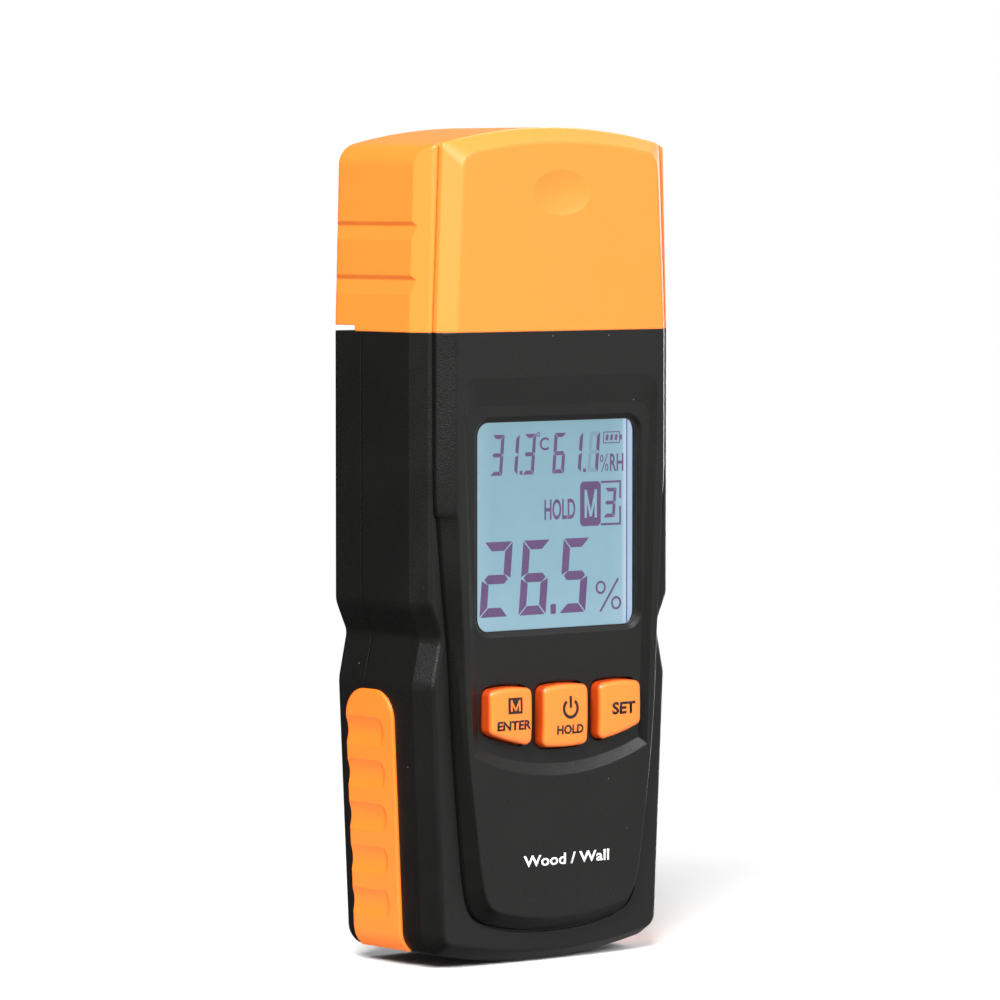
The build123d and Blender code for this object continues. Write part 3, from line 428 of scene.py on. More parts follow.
moulded("lead_red", (0.50, 0.012, 0.010), (0.6, 0.05, 0.04), 0.38, drift=0.2)
moulded("lead_black", (0.014, 0.014, 0.015), (0.05, 0.05, 0.05), 0.38, drift=0.2)
moulded("plunger_white", (0.72, 0.71, 0.67), (0.85, 0.85, 0.82), 0.45, drift=0.1)
moulded("diffuser", (0.82, 0.84, 0.86), (0.9, 0.9, 0.92), 0.5, bump=0.05, drift=0.05)
print("moulded finishes:", len(finishes))

# %% [markdown]
# ## Metals
# The needles are ground steel, the nuts are turned brass, the cans and screws are bright plate.
# A fine streak that runs round or along the part shows how it was worked, so the metal recipe
# stretches a noise along one axis for the streaks and lets a second noise dull it in patches.

# %% The metal recipe
def worked_metal(name, colour, dull, roughness, streak=(1, 1, 12), edge=0.0002):
    """A metal with fine streaks from its making and slightly dull patches."""
    material, tree, shader = new_finish(name)
    shader.inputs["Metallic"].default_value = 1.0
    where = add(tree, "ShaderNodeTexCoord")
    stretch = add(tree, "ShaderNodeMapping")
    stretch.inputs["Scale"].default_value = streak
    link(tree, where.outputs["Object"], stretch.inputs["Vector"])
    streaks = add(tree, "ShaderNodeTexNoise", Scale=900.0, Detail=3.0)
    link(tree, stretch.outputs["Vector"], streaks.inputs["Vector"])
    mottle = use_group(tree, "mottle", Scale=300.0, Amount=0.5)
    edges = use_group(tree, "soft_edge", Radius=edge)
    link(tree, mix_colour(tree, streaks.outputs["Fac"], colour, dull), shader.inputs["Base Color"])
    rough = summed(tree, scaled(tree, streaks.outputs["Fac"], 0.25, roughness - 0.12),
                   scaled(tree, mottle.outputs["Rough"], 0.4))
    link(tree, rough, shader.inputs["Roughness"])
    relief = add(tree, "ShaderNodeBump", Strength=0.15, Distance=0.00005)
    link(tree, streaks.outputs["Fac"], relief.inputs["Height"])
    link(tree, edges.outputs["Normal"], relief.inputs["Normal"])
    link(tree, relief.outputs["Normal"], shader.inputs["Normal"])
    return material


worked_metal("needle_steel", (0.62, 0.62, 0.61), (0.45, 0.45, 0.45), 0.24, (1, 1, 14))
worked_metal("nut_brass", (0.80, 0.58, 0.24), (0.62, 0.42, 0.16), 0.28, (1, 1, 10))
worked_metal("can_metal", (0.68, 0.69, 0.70), (0.52, 0.53, 0.54), 0.34, (6, 1, 1))
worked_metal("screw_steel", (0.55, 0.56, 0.58), (0.38, 0.39, 0.41), 0.32, (1, 6, 1))
worked_metal("contact_nickel", (0.70, 0.68, 0.64), (0.55, 0.52, 0.47), 0.26, (1, 1, 8))
print("finishes so far:", len(finishes))

# %% [markdown]
# ## Circuit board, cells and label
# These have two or more colours on one surface, each from a simple rule on Object coordinates:
# copper tracks under green lacquer, a printed jacket with bare metal ends, and a label with a
# darker printed frame.

# %% Circuit board
def coordinates(tree):
    """The X, Y and Z of a point, in metres, as three sockets."""
    where = add(tree, "ShaderNodeTexCoord")
    split = add(tree, "ShaderNodeSeparateXYZ")
    link(tree, where.outputs["Object"], split.inputs["Vector"])
    return split.outputs["X"], split.outputs["Y"], split.outputs["Z"]


_, tree, shader = new_finish("board_green")
where = add(tree, "ShaderNodeTexCoord")
tracks = add(tree, "ShaderNodeTexBrick", Scale=220.0, Mortar_Size=0.035, Mortar_Smooth=0.1)
turn = add(tree, "ShaderNodeMapping")
turn.inputs["Rotation"].default_value = (pi / 2, 0, 0)
link(tree, where.outputs["Object"], turn.inputs["Vector"])
link(tree, turn.outputs["Vector"], tracks.inputs["Vector"])
mottle = use_group(tree, "mottle", Scale=160.0, Amount=0.4)
lacquer = tinted(tree, (0.010, 0.085, 0.030), mottle)
link(tree, mix_colour(tree, tracks.outputs["Fac"], lacquer, (0.03, 0.17, 0.06)),
     shader.inputs["Base Color"])
link(tree, scaled(tree, mottle.outputs["Rough"], 0.5, 0.34), shader.inputs["Roughness"])
relief = add(tree, "ShaderNodeBump", Strength=0.3, Distance=0.00005)
link(tree, tracks.outputs["Fac"], relief.inputs["Height"])
link(tree, relief.outputs["Normal"], shader.inputs["Normal"])
print("board finish ready")

# %% Dry cells
BARE_END = 2.0 * MM             # bare metal at each end of a cell
BAND_LENGTH = 13.3 * MM         # copper-coloured band at the plus end

cell_low, cell_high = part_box("battery_1")
cell_mid = (cell_low.z + cell_high.z) / 2
cell_half = (cell_high.z - cell_low.z) / 2


def absolute(tree, source):
    """A value without its sign."""
    node = add(tree, "ShaderNodeMath", operation="ABSOLUTE")
    link(tree, source, node.inputs[0])
    return node.outputs["Value"]


_, tree, shader = new_finish("cell_jacket")
x, y, z = coordinates(tree)
height = scaled(tree, z, 1.0, -cell_mid)
bare = step(tree, absolute(tree, height), cell_half - BARE_END - 0.1 * MM, cell_half - BARE_END)
# The two outer cells stand the other way up, so their band is at the other end.
outer_cell = step(tree, absolute(tree, x), 5.4 * MM, 5.6 * MM)
flip = add(tree, "ShaderNodeMath", operation="MULTIPLY")
link(tree, height, flip.inputs[0])
link(tree, scaled(tree, outer_cell, -2.0, 1.0), flip.inputs[1])
band = step(tree, flip.outputs["Value"], cell_half - BAND_LENGTH - 0.2 * MM,
            cell_half - BAND_LENGTH)
jacket = mix_colour(tree, band, (0.018, 0.020, 0.024), (0.62, 0.30, 0.10))
link(tree, mix_colour(tree, bare, jacket, (0.66, 0.66, 0.65)), shader.inputs["Base Color"])
link(tree, bare, shader.inputs["Metallic"])
mottle = use_group(tree, "mottle", Scale=240.0, Amount=0.3)
link(tree, scaled(tree, mottle.outputs["Rough"], 0.5, 0.27), shader.inputs["Roughness"])
edges = use_group(tree, "soft_edge", Radius=0.0003)
link(tree, edges.outputs["Normal"], shader.inputs["Normal"])
print("cell finish: half a cell is", round(cell_half / MM, 2), "mm")

# %% Label paper
LABEL_BORDER = 1.30 * MM
BORDER_BLUR = 0.05 * MM

label_low, label_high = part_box("rear_label")
label_half = (label_high.z - label_low.z) / 2
_, tree, shader = new_finish("label_grey", 0.35)
x, y, z = coordinates(tree)
from_middle = scaled(tree, z, 1.0, -(label_low.z + label_high.z) / 2)
border_x, border_z = label_high.x - LABEL_BORDER, label_half - LABEL_BORDER
wide = step(tree, absolute(tree, x), border_x - BORDER_BLUR, border_x)
high = step(tree, absolute(tree, from_middle), border_z - BORDER_BLUR, border_z)
mottle = use_group(tree, "mottle", Scale=500.0, Amount=0.12)
paper = tinted(tree, (0.46, 0.47, 0.48), mottle)
link(tree, mix_colour(tree, summed(tree, wide, high), paper, (0.30, 0.31, 0.32)),
     shader.inputs["Base Color"])
link(tree, scaled(tree, mottle.outputs["Rough"], 0.8, 0.48), shader.inputs["Roughness"])
print("finishes so far:", len(finishes))

# %% [markdown]
# ## Display
# Behind the clear lens lies the display glass, lit from behind. The backlight is stronger near
# the bottom and the edges, where its lamps sit, so the glow is a soft gradient and not one colour.
# The lens is plain clear acrylic with a faint haze.

# %% Display glass
# The right end of the light guide shows bright, with a dark and a bright line past it.
END_BANDS = ((17.6, 18.4, (0.64, 0.84, 1.0)), (18.7, 18.8, (0.06, 0.12, 0.45)),
             (19.0, 19.1, (0.60, 0.76, 1.0)))       # from and to in mm, and the colour

lcd_low, lcd_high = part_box("lcd_panel")
glass, tree, shader = new_finish("display_glass", 0.4, 1.5)
x, y, z = coordinates(tree)
upward = step(tree, z, lcd_low.z, lcd_high.z)
rim = step(tree, absolute(tree, x), 14.5 * MM, 20.5 * MM)
foot = step(tree, scaled(tree, z, -1.0), -(lcd_low.z + 12 * MM), -(lcd_low.z + 1 * MM))
glow = mix_colour(tree, upward, (0.34, 0.60, 0.72), (0.27, 0.50, 0.60))
glow = mix_colour(tree, summed(tree, scaled(tree, rim, 0.45), scaled(tree, foot, 0.3)), glow,
                  (0.52, 0.74, 0.90))
for start, end, colour in END_BANDS:
    glow = mix_colour(tree, step(tree, x, start * MM, end * MM), glow, colour)
mottle = use_group(tree, "mottle", Scale=90.0, Amount=0.10)
link(tree, tinted(tree, glow, mottle), shader.inputs["Emission Color"])
shader.inputs["Emission Strength"].default_value = 0.80
link(tree, tinted(tree, (0.02, 0.03, 0.035), mottle), shader.inputs["Base Color"])
link(tree, scaled(tree, mottle.outputs["Rough"], 0.6, 0.35), shader.inputs["Roughness"])

# %% Lens
_, tree, shader = new_finish("lens_clear", 0.5, 1.49)
shader.inputs["Transmission Weight"].default_value = 1.0
haze = use_group(tree, "mottle", Scale=500.0, Amount=0.06)
link(tree, scaled(tree, haze.outputs["Rough"], 0.5, 0.03), shader.inputs["Roughness"])
link(tree, tinted(tree, (0.97, 0.985, 1.0), haze), shader.inputs["Base Color"])

# %% [markdown]
# A dark segment still lets some violet light through, and a segment that is off shows as a faint
# ghost of itself. Both could be plain dark paint, but a weak glow of their own matches a display
# that is lit from behind.

# %% Segment colours
def segment_ink(name, lit_colour, strength, dark_colour, drift):
    """A segment's colour: mostly the light that comes through it, with a little paint."""
    material, tree, shader = new_finish(name, 0.3)
    mottle = use_group(tree, "mottle", Scale=150.0, Amount=drift)
    link(tree, tinted(tree, lit_colour, mottle), shader.inputs["Emission Color"])
    shader.inputs["Emission Strength"].default_value = strength
    link(tree, tinted(tree, dark_colour, mottle), shader.inputs["Base Color"])
    link(tree, scaled(tree, mottle.outputs["Rough"], 0.4, 0.45), shader.inputs["Roughness"])
    return material


ink = segment_ink("display_ink", (0.135, 0.052, 0.200), 0.9, (0.010, 0.006, 0.014), 0.5)
ghost = segment_ink("display_ghost", (0.265, 0.455, 0.56), 0.66, (0.04, 0.06, 0.07), 0.3)
print("finishes so far:", len(finishes))

# %% [markdown]
# ## Putting the finishes on
# Each node carries the slot name of its finish in the record, so the list is read from there.
# Only the material in the slot is swapped: the node's mesh stays as it came.

# %% Assign finishes
slots = {part["node"]: part["material_slot"] for part in frame["record"]["subparts"]}
for name, node in nodes.items():
    finish = finishes[slots[name]]
    if not node.material_slots:
        node.data.materials.append(finish)
    for slot in node.material_slots:
        slot.material = finish
print("nodes finished:", len(slots))

# %% [markdown]
# ## Segments of the display
# A number on the display is made of bars with mitred ends. Three bars are enough for every digit:
# a level one whose inner edge is shorter, an upright one that has a full mitre at the corner and
# half a mitre at the waist, and the six-sided one across the waist. Each is modelled once as a flat
# face, and then copied, turned and leaned to its place.

# %% Helpers for flat pieces
FRONT = Matrix.Rotation(pi / 2, 4, "X")      # lays a flat face so that it looks to the front
WELD = 0.001 * MM               # corners closer than this are one corner


def flat_bar(length, width):
    """A flat bar in the X-Z plane, centred on the origin, in edit mode with nothing selected."""
    deselect_all()
    bpy.ops.mesh.primitive_plane_add(size=1, rotation=(pi / 2, 0, 0))
    bar = bpy.context.object
    bpy.ops.object.transform_apply(location=False, rotation=True, scale=False)
    bpy.ops.object.mode_set(mode="EDIT")
    bpy.ops.mesh.select_all(action="SELECT")
    bpy.ops.transform.resize(value=(length, 1, width))
    return bar


def select_corners(piece, wanted):
    """Selects the vertices that pass a test, while in edit mode."""
    bpy.ops.mesh.select_all(action="DESELECT")
    bpy.ops.object.mode_set(mode="OBJECT")
    for vertex in piece.data.vertices:
        vertex.select = wanted(vertex.co)
    bpy.ops.object.mode_set(mode="EDIT")


def level_bar(length, width):
    """The top bar of a digit: long outer edge above, short inner edge below."""
    bar = flat_bar(length, width)
    bpy.ops.mesh.select_mode(type="VERT")
    select_corners(bar, lambda co: co.z < 0)
    bpy.ops.transform.resize(value=((length - 2 * width) / length, 1, 1))
    bpy.ops.object.mode_set(mode="OBJECT")
    return bar


def upright_bar(length, width):
    """The upper left bar: full mitre above, half a mitre at the waist."""
    bar = flat_bar(width, length)
    bpy.ops.mesh.select_mode(type="VERT")
    select_corners(bar, lambda co: co.x > 0 and co.z > 0)
    bpy.ops.transform.translate(value=(0, 0, -width))
    select_corners(bar, lambda co: co.x > 0 and co.z < 0)
    bpy.ops.transform.translate(value=(0, 0, width / 2))
    bpy.ops.object.mode_set(mode="OBJECT")
    return bar


def waist_bar(length, width):
    """The bar across the waist: both ends come to a point."""
    bar = flat_bar(length, width)
    bpy.ops.mesh.bevel(offset=width / 2, affect="VERTICES")
    bpy.ops.mesh.select_all(action="SELECT")
    bpy.ops.mesh.remove_doubles(threshold=width / 50)
    bpy.ops.object.mode_set(mode="OBJECT")
    return bar


def copy_of(piece, place):
    """A copy with its own mesh, moved by a matrix that goes into the mesh."""
    twin = piece.copy()
    twin.data = piece.data.copy()
    bpy.context.scene.collection.objects.link(twin)
    twin.data.transform(place)
    if place.determinant() < 0:
        twin.data.flip_normals()
    return twin


def joined(pieces, name):
    """Several pieces made into one, with a tidy name. A single piece only gets the name."""
    whole = pieces[0]
    if len(pieces) > 1:
        deselect_all()
        for piece in pieces:
            piece.select_set(True)
        bpy.context.view_layer.objects.active = whole
        bpy.ops.object.join()
    whole.name = name
    whole.data.name = name
    return whole


def discard(pieces):
    for piece in pieces:
        bpy.data.objects.remove(piece)


# %% [markdown]
# Seven letters name the bars of a digit, from the top one clockwise to the one across the waist.
# A digit is then a short word. The lean is one slanted matrix that every bar passes through.

# %% Digits
DIGITS = {"1": "bc", "2": "abged", "3": "abgcd", "5": "afgcd", "6": "afgedc"}
LEAN = 0.085
INK_Y = lcd_low.y - 0.00003
GAP_SHARE = 0.12                # gap between two bars, as a share of a bar's width


def digit(bars, x0, x1, z0, z1, width, lean=LEAN):
    """The bars of one digit, filled into a box on the display."""
    middle_z = (z0 + z1) / 2
    half_h = (z1 - z0) / 2
    wide = x1 - x0 - lean * (z1 - z0)
    centre_x = (x0 + x1) / 2
    gap = GAP_SHARE * width
    level = level_bar(wide - 2 * gap, width)
    upright = upright_bar(half_h - gap * 1.6, width)
    waist = waist_bar(wide - 0.45 * width - 2 * gap, width)
    at_side = (wide - width) / 2
    at_top = half_h - width / 2
    up = half_h / 2 + gap * 0.1
    mirror_x = Matrix.Scale(-1, 4, (1, 0, 0))
    mirror_z = Matrix.Scale(-1, 4, (0, 0, 1))
    move = Matrix.Translation
    places = {
        "a": (level, move((0, 0, at_top))),
        "d": (level, mirror_z @ move((0, 0, at_top))),
        "f": (upright, move((-at_side, 0, up))),
        "b": (upright, mirror_x @ move((-at_side, 0, up))),
        "e": (upright, mirror_z @ move((-at_side, 0, up))),
        "c": (upright, mirror_x @ mirror_z @ move((-at_side, 0, up))),
        "g": (waist, Matrix.Identity(4)),
    }
    slant = Matrix(((1, 0, lean, 0), (0, 1, 0, 0), (0, 0, 1, 0), (0, 0, 0, 1)))
    home = move((centre_x, INK_Y, middle_z))
    made = [copy_of(places[bar][0], home @ slant @ places[bar][1]) for bar in bars]
    discard([level, upright, waist])
    return made


def spot(x, z, wide, high):
    """A small upright block, such as a decimal point."""
    bar = flat_bar(wide, high)
    bpy.ops.mesh.bevel(offset=min(wide, high) * 0.12, affect="VERTICES")
    bpy.ops.object.mode_set(mode="OBJECT")
    bar.data.transform(Matrix.Translation((x, INK_Y, z)))
    return bar


ink_pieces = []
SMALL = (93.8 * MM, 101.55 * MM, 0.78 * MM)     # foot, top and bar width of the small digits
LARGE = (66.9 * MM, 81.2 * MM, 1.75 * MM)
for number, x0, x1 in (("3", -15.2, -11.6), ("1", -11.0, -7.9), ("3", -7.3, -3.8), ("6", 0.1, 3.7),
                       ("1", 4.6, 7.9), ("1", 8.9, 12.2)):
    ink_pieces += digit(DIGITS[number], x0 * MM, x1 * MM, *SMALL)
for number, x0, x1 in (("2", -17.8, -9.6), ("6", -8.2, -0.3), ("5", 1.8, 9.6)):
    ink_pieces += digit(DIGITS[number], x0 * MM, x1 * MM, *LARGE)
ink_pieces += digit(DIGITS["3"], 12.9 * MM, 16.3 * MM, 84.9 * MM, 90.6 * MM, 0.72 * MM)
ink_pieces += [spot(x * MM, 94.2 * MM, 0.7 * MM, 0.75 * MM) for x in (-7.6, 8.2)]
ink_pieces.append(spot(0.4 * MM, 67.8 * MM, 1.35 * MM, 1.9 * MM))
ghosts = digit("afged", 8.9 * MM, 12.2 * MM, *SMALL)
print("display bars:", len(ink_pieces))

# %% [markdown]
# ## Words and signs on the display
# Words start as text objects in the built-in letterform, become meshes, and are then squeezed into
# the box that they fill on the display, which gives the narrow letters of such displays.

# %% Flat words
LETTER_STEPS = 3


def flat_word(words, x0, x1, z0, z1, y, weight=0.0, back=False):
    """A word as a flat mesh in the X-Z plane that fills a box. It looks to the front or back."""
    deselect_all()
    bpy.ops.object.text_add()
    letters = bpy.context.object
    letters.data.body = words
    letters.data.offset = weight
    letters.data.resolution_u = LETTER_STEPS
    bpy.ops.object.convert(target="MESH")
    letters = bpy.context.object
    letters.data.transform(FRONT)
    if back:
        letters.data.transform(Matrix.Rotation(pi, 4, "Z"))
    corners = [vertex.co for vertex in letters.data.vertices]
    low = Vector([min(co[axis] for co in corners) for axis in range(3)])
    high = Vector([max(co[axis] for co in corners) for axis in range(3)])
    squeeze = Matrix.Diagonal(((x1 - x0) / (high.x - low.x), 1, (z1 - z0) / (high.z - low.z), 1))
    letters.data.transform(Matrix.Translation((x0, y, z0)) @ squeeze @ Matrix.Translation(-low))
    return letters


def ink_word(words, x0, x1, z0, z1, weight=0.0):
    """A word on the display, with its box in millimetres."""
    ink_pieces.append(flat_word(words, x0 * MM, x1 * MM, z0 * MM, z1 * MM, INK_Y, weight))


ink_word("HOLD", -1.8, 5.9, 84.9, 88.9, 0.022)
ink_word("C", -3.0, -0.7, 98.3, 100.8, 0.016)
ink_word("RH", 14.6, 18.0, 93.8, 97.2, 0.016)

# %% [markdown]
# The degree ring, the percent signs, the frame of the mode box and the battery are drawn with
# simple outlines: a flat face is inset, and the inner face is taken out or kept.

# %% Rings, frames and signs
def flat_ring(x, z, wide, high, line, corners=16):
    """A flat ring or frame, from a filled outline that is inset and opened."""
    deselect_all()
    bpy.ops.mesh.primitive_circle_add(vertices=corners, radius=0.5, fill_type="NGON")
    ring = bpy.context.object
    bpy.ops.object.mode_set(mode="EDIT")
    bpy.ops.mesh.select_all(action="SELECT")
    bpy.ops.transform.resize(value=(wide, high, 1))
    bpy.ops.mesh.inset(thickness=line, depth=0)
    bpy.ops.mesh.delete(type="FACE")
    bpy.ops.object.mode_set(mode="OBJECT")
    ring.data.transform(Matrix.Translation((x, INK_Y, z)) @ FRONT)
    return ring


def flat_frame(x0, x1, z0, z1, line):
    """A square-cornered frame."""
    bar = flat_bar(x1 - x0, z1 - z0)
    bpy.ops.mesh.inset(thickness=line, depth=0)
    bpy.ops.mesh.delete(type="FACE")
    bpy.ops.object.mode_set(mode="OBJECT")
    bar.data.transform(Matrix.Translation(((x0 + x1) / 2, INK_Y, (z0 + z1) / 2)))
    return bar


def stroke(x0, z0, x1, z1, line):
    """A thin straight bar from one point to another."""
    run = Vector((x1 - x0, 0, z1 - z0))
    bar = flat_bar(run.length, line)
    bpy.ops.object.mode_set(mode="OBJECT")
    turn = Vector((1, 0, 0)).rotation_difference(run).to_matrix().to_4x4()
    bar.data.transform(Matrix.Translation(((x0 + x1) / 2, INK_Y, (z0 + z1) / 2)) @ turn)
    return bar


def percent(x0, x1, z0, z1, line):
    """A percent sign: two rings and a slash."""
    wide, high = x1 - x0, z1 - z0
    ring_w, ring_h = wide * 0.40, high * 0.42
    return [flat_ring(x0 + ring_w / 2, z1 - ring_h / 2 - high * 0.04, ring_w, ring_h, line),
            flat_ring(x1 - ring_w / 2, z0 + ring_h / 2 + high * 0.04, ring_w, ring_h, line),
            stroke(x0 + wide * 0.18, z0, x1 - wide * 0.12, z1, line)]


ink_pieces += percent(11.0 * MM, 17.5 * MM, 66.7 * MM, 73.0 * MM, 0.45 * MM)
ink_pieces += percent(12.1 * MM, 14.2 * MM, 93.7 * MM, 97.2 * MM, 0.22 * MM)
ink_pieces.append(flat_ring(-3.3 * MM, 101.4 * MM, 0.95 * MM, 0.95 * MM, 0.2 * MM))

battery_x0, battery_x1, battery_z0, battery_z1 = 12.9 * MM, 17.1 * MM, 99.2 * MM, 101.5 * MM
ink_pieces.append(flat_frame(battery_x0, battery_x1, battery_z0, battery_z1, 0.2 * MM))
ink_pieces.append(spot(17.4 * MM, 100.35 * MM, 0.45 * MM, 1.0 * MM))
for index in range(3):
    x = (13.75 + 1.15 * index) * MM
    ink_pieces.append(stroke(x, 99.8 * MM, x + 0.25 * MM, 100.9 * MM, 0.62 * MM))

box_x0, box_mid, box_x1, box_z0, box_z1 = 7.1 * MM, 12.3 * MM, 17.4 * MM, 83.4 * MM, 92.0 * MM
box_line = 0.42 * MM
ink_pieces.append(stroke(box_mid, box_z0 + box_line / 2, box_x1, box_z0 + box_line / 2, box_line))
ink_pieces.append(stroke(box_mid, box_z1 - box_line / 2, box_x1, box_z1 - box_line / 2, box_line))
box_side = box_x1 - box_line / 2
hairline = 0.03 * MM            # a gap that is too fine to see, so that no two strokes touch
ink_pieces.append(stroke(box_side, box_z0 + box_line + hairline, box_side, 87.0 * MM, box_line))
ink_pieces.append(stroke(box_side, 88.5 * MM, box_side, box_z1 - box_line - hairline, box_line))
print("display pieces:", len(ink_pieces))

# %% [markdown]
# The left half of the mode box is solid, with a light letter M in it. The light letter lies just in
# front of the solid half, which is simpler than cutting the letter out of it.

# %% Mode box
solid_half = spot((box_x0 + box_mid) / 2, (box_z0 + box_z1) / 2, box_mid - box_x0, box_z1 - box_z0)
ink_pieces.append(solid_half)
INK_T = 0.00002


def pick(piece):
    """Selects one piece alone and makes it the active one."""
    deselect_all()
    piece.select_set(True)
    bpy.context.view_layer.objects.active = piece


def thicken(piece, thickness):
    """Gives a flat piece a thin body, with closed sides, towards its front."""
    pick(piece)
    bpy.ops.object.mode_set(mode="EDIT")
    bpy.ops.mesh.select_all(action="SELECT")
    bpy.ops.mesh.remove_doubles(threshold=WELD)
    bpy.ops.object.mode_set(mode="OBJECT")
    solidify = piece.modifiers.new("body", "SOLIDIFY")
    solidify.thickness = thickness
    solidify.offset = 1.0
    bpy.ops.object.modifier_apply(modifier=solidify.name)
    return piece


def letter_m(x0, x1, z0, z1, line, y, name):
    """A letter M of four strokes: two uprights and a deep vee between them."""
    middle, left, right = (x0 + x1) / 2, x0 + line / 2, x1 - line / 2
    inner = line * 0.45
    strokes = [stroke(left, z0, left, z1, line), stroke(right, z0, right, z1, line),
               stroke(left, z1 - inner, middle, z0 + inner, line * 0.9),
               stroke(middle, z0 + inner, right, z1 - inner, line * 0.9)]
    letter = joined(strokes, name)
    letter.data.transform(Matrix.Translation((0, y - INK_Y, 0)))
    return letter


def finish_piece(piece, material, body):
    """Gives a piece its one material and the body it moves with."""
    piece.data.materials.clear()
    piece.data.materials.append(material)
    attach(piece, body)
    return piece


lcd_ink = thicken(joined(ink_pieces, "lcd_segments"), INK_T)
finish_piece(lcd_ink, ink, "meter_body")
lcd_ghost = thicken(joined(ghosts, "lcd_idle_segments"), INK_T)
finish_piece(lcd_ghost, ghost, "meter_body")
mode_letter = letter_m(8.2 * MM, 11.3 * MM, 85.0 * MM, 90.4 * MM, 0.58 * MM, INK_Y - 2 * INK_T,
                       "lcd_mode_letter")
finish_piece(thicken(mode_letter, INK_T), glass, "meter_body")
print("display faces:", len(lcd_ink.data.polygons))

# %% [markdown]
# ## Printing on the keys
# The keys say what they do: a boxed M over ENTER, a power sign over HOLD, and SET. Each print is a
# flat mesh that a Shrinkwrap modifier presses onto the domed key before it gets its thin body.
# It could be a picture on the key, but a mesh stays sharp at every size and moves with its key.

# %% Print finishes
def print_finish(name, colour, roughness):
    """Pad-printed ink: flat, slightly uneven, a touch smoother than the plastic under it."""
    material, tree, shader = new_finish(name, 0.4)
    mottle = use_group(tree, "mottle", Scale=900.0, Amount=0.35)
    grain = use_group(tree, "spark_grain", Scale=3200.0)
    link(tree, tinted(tree, colour, mottle), shader.inputs["Base Color"])
    link(tree, scaled(tree, mottle.outputs["Rough"], 0.4, roughness), shader.inputs["Roughness"])
    relief = add(tree, "ShaderNodeBump", Strength=0.06, Distance=0.0001)
    link(tree, grain.outputs["Height"], relief.inputs["Height"])
    link(tree, relief.outputs["Normal"], shader.inputs["Normal"])
    return material


black_print = print_finish("print_black", (0.014, 0.010, 0.009), 0.5)
white_print = print_finish("print_white", (0.80, 0.80, 0.79), 0.55)
PRINT_T = 0.03 * MM
LIFT = 0.01 * MM                # how far a print stands off the surface under it


def press_on(piece, node_name, above=LIFT):
    """Presses a flat print along Y onto a node, a hair above its surface."""
    pick(piece)
    wrap = piece.modifiers.new("press", "SHRINKWRAP")
    wrap.target = nodes[node_name]
    wrap.wrap_method = "PROJECT"
    wrap.use_project_y = True
    wrap.use_positive_direction = True
    wrap.use_negative_direction = True
    wrap.offset = above
    bpy.ops.object.modifier_apply(modifier=wrap.name)
    return piece


def key_print(pieces, name, node_name):
    """Joins, presses and thickens one key's print, and lets it ride with the key."""
    legend = press_on(joined(pieces, name), node_name)
    thicken(legend, PRINT_T)
    return finish_piece(legend, black_print, node_name)


KEY_START_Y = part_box("key_power")[0].y - 1 * MM     # prints start in front of the keys


def key_word(words, x0, x1, z0, z1, weight=0.036):
    """A bold word in front of the keys, with its box in millimetres."""
    return flat_word(words, x0 * MM, x1 * MM, z0 * MM, z1 * MM, KEY_START_Y, weight)

# %% [markdown]
# The power sign is a ring that stays open at the top, with a bar standing in the gap. It is spun
# from a short edge: the edge is turned about the middle, and the gap is what the spin leaves out.

# %% Power sign
def power_sign(x, z, radius, line, gap_angle=0.62):
    """The open ring and the bar of the power sign."""
    ring = flat_bar(line, line)
    bpy.ops.mesh.select_mode(type="VERT")
    select_corners(ring, lambda co: co.z > 0)
    bpy.ops.mesh.delete(type="VERT")
    bpy.ops.mesh.select_all(action="SELECT")
    bpy.ops.transform.translate(value=(radius - line / 2, 0, line / 2))
    start = Matrix.Rotation(-(pi / 2 - gap_angle), 4, "Y")
    bpy.ops.object.mode_set(mode="OBJECT")
    ring.data.transform(start)
    bpy.ops.object.mode_set(mode="EDIT")
    bpy.ops.mesh.select_all(action="SELECT")
    bpy.ops.mesh.spin(steps=40, angle=-2 * (pi - gap_angle), center=(0, 0, 0), axis=(0, 1, 0))
    bpy.ops.mesh.select_all(action="SELECT")
    bpy.ops.mesh.remove_doubles(threshold=WELD)
    bpy.ops.object.mode_set(mode="OBJECT")
    ring.data.transform(Matrix.Translation((x, KEY_START_Y, z)))
    bar = flat_bar(line, radius * 1.15)
    bpy.ops.object.mode_set(mode="OBJECT")
    bar.data.transform(Matrix.Translation((x, KEY_START_Y, z + radius * 0.62)))
    return [ring, bar]


def face_front(piece):
    """Turns a flat piece's faces to the front where they look back."""
    normal_y = sum(face.normal.y * face.area for face in piece.data.polygons)
    if normal_y > 0:
        piece.data.flip_normals()
    return piece


power_parts = [face_front(part) for part in power_sign(0.7 * MM, 49.0 * MM, 2.0 * MM, 0.62 * MM)]
power_parts.append(key_word("HOLD", -2.6, 4.0, 44.1, 45.9))
legend_power = key_print(power_parts, "legend_power", "key_power")
legend_set = key_print([key_word("SET", 11.1, 17.0, 47.2, 49.6)], "legend_set", "key_set")

# %% [markdown]
# The boxed M is a dark square with an orange letter. The letter could be cut out of the square with
# a Boolean modifier, but a second thin print just above the first gives a cleaner edge.

# %% Boxed letter
def plain_square(x0, x1, z0, z1):
    """A dark square print with slightly eased corners."""
    square = flat_bar(x1 - x0, z1 - z0)
    bpy.ops.mesh.bevel(offset=0.0001, affect="VERTICES")
    bpy.ops.object.mode_set(mode="OBJECT")
    square.data.transform(Matrix.Translation(((x0 + x1) / 2, KEY_START_Y, (z0 + z1) / 2)))
    return square


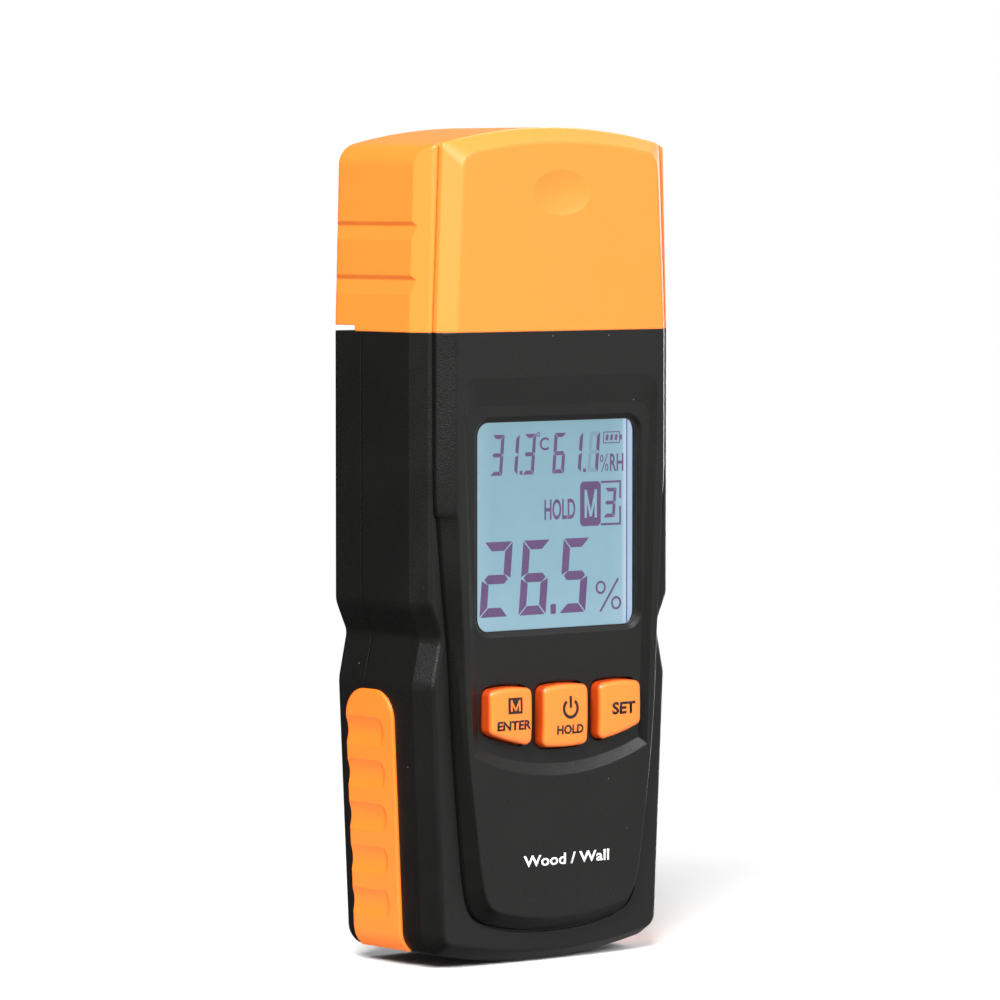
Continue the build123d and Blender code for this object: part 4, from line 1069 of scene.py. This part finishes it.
enter_parts = [plain_square(-14.7 * MM, -11.2 * MM, 48.7 * MM, 51.8 * MM),
               key_word("ENTER", -17.3, -9.0, 45.6, 47.4)]
legend_enter = key_print(enter_parts, "legend_enter", "key_enter")
enter_letter = letter_m(-14.15 * MM, -11.75 * MM, 49.15 * MM, 51.35 * MM, 0.42 * MM, KEY_START_Y,
                        "legend_enter_letter")
thicken(press_on(enter_letter, "key_enter", 2 * PRINT_T), PRINT_T)
finish_piece(enter_letter, finishes["key_orange"], "key_enter")
print("key prints:", legend_enter.name, legend_power.name, legend_set.name)

# %% [markdown]
# ## Printing on the case
# A short white line on the front says what the meter is for. It lies on the flat part of the
# raised panel. The back has a grey label with a few plain facts, and the battery door has an arrow
# for the way it opens.

# %% Front line
print_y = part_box("front_shell")[0].y - LIFT
front_line = flat_word("Wood / Wall", -9.4 * MM, 11.9 * MM, 18.9 * MM, 21.1 * MM, print_y, 0.02)
front_line.name = "legend_front"
thicken(front_line, PRINT_T)
finish_piece(front_line, white_print, "meter_body")

# %% [markdown]
# The back is seen when the cells are changed, so the label says which cells the meter takes. It
# could be left bare, but on a real meter this is where the supply is usually printed.

# %% Rear label
label_y = label_high.y + LIFT
supply = flat_word("DC 4.5 V", -9.5 * MM, 9.5 * MM, 90.2 * MM, 93.6 * MM, label_y, 0.02, True)
cells = flat_word("3 x 1.5 V  AAA", -13.2 * MM, 13.2 * MM, 83.0 * MM, 86.0 * MM, label_y, 0.012,
                  True)
legend_rear = thicken(joined([supply, cells], "legend_rear"), PRINT_T)
finish_piece(legend_rear, black_print, "meter_body")

# %% [markdown]
# A small arrow on the battery door shows which way to press its top end before the door tips out.
# It could be moulded into the door, but the back is the face that the meter lies on, so a thin grey
# print keeps that face flat.

# %% Door arrow
def arrow(x, z, wide, high, y):
    """A flat arrowhead that points down and looks to the back."""
    deselect_all()
    bpy.ops.mesh.primitive_circle_add(vertices=3, radius=0.5, fill_type="NGON")
    head = bpy.context.object
    head.name = "door_arrow"
    turn = Matrix.Translation((x, y, z)) @ Matrix.Rotation(pi, 4, "Z") @ FRONT
    head.data.transform(turn @ Matrix.Diagonal((wide, -high, 1, 1)))
    head.data.flip_normals()
    return head


door_low, door_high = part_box("battery_door")
door_arrow = thicken(arrow(0, 40 * MM, 9 * MM, 6 * MM, door_high.y + LIFT), PRINT_T)
grey_print = print_finish("print_grey", (0.20, 0.20, 0.20), 0.5)
finish_piece(door_arrow, grey_print, "battery_door")
print("back prints:", legend_rear.name, door_arrow.name)
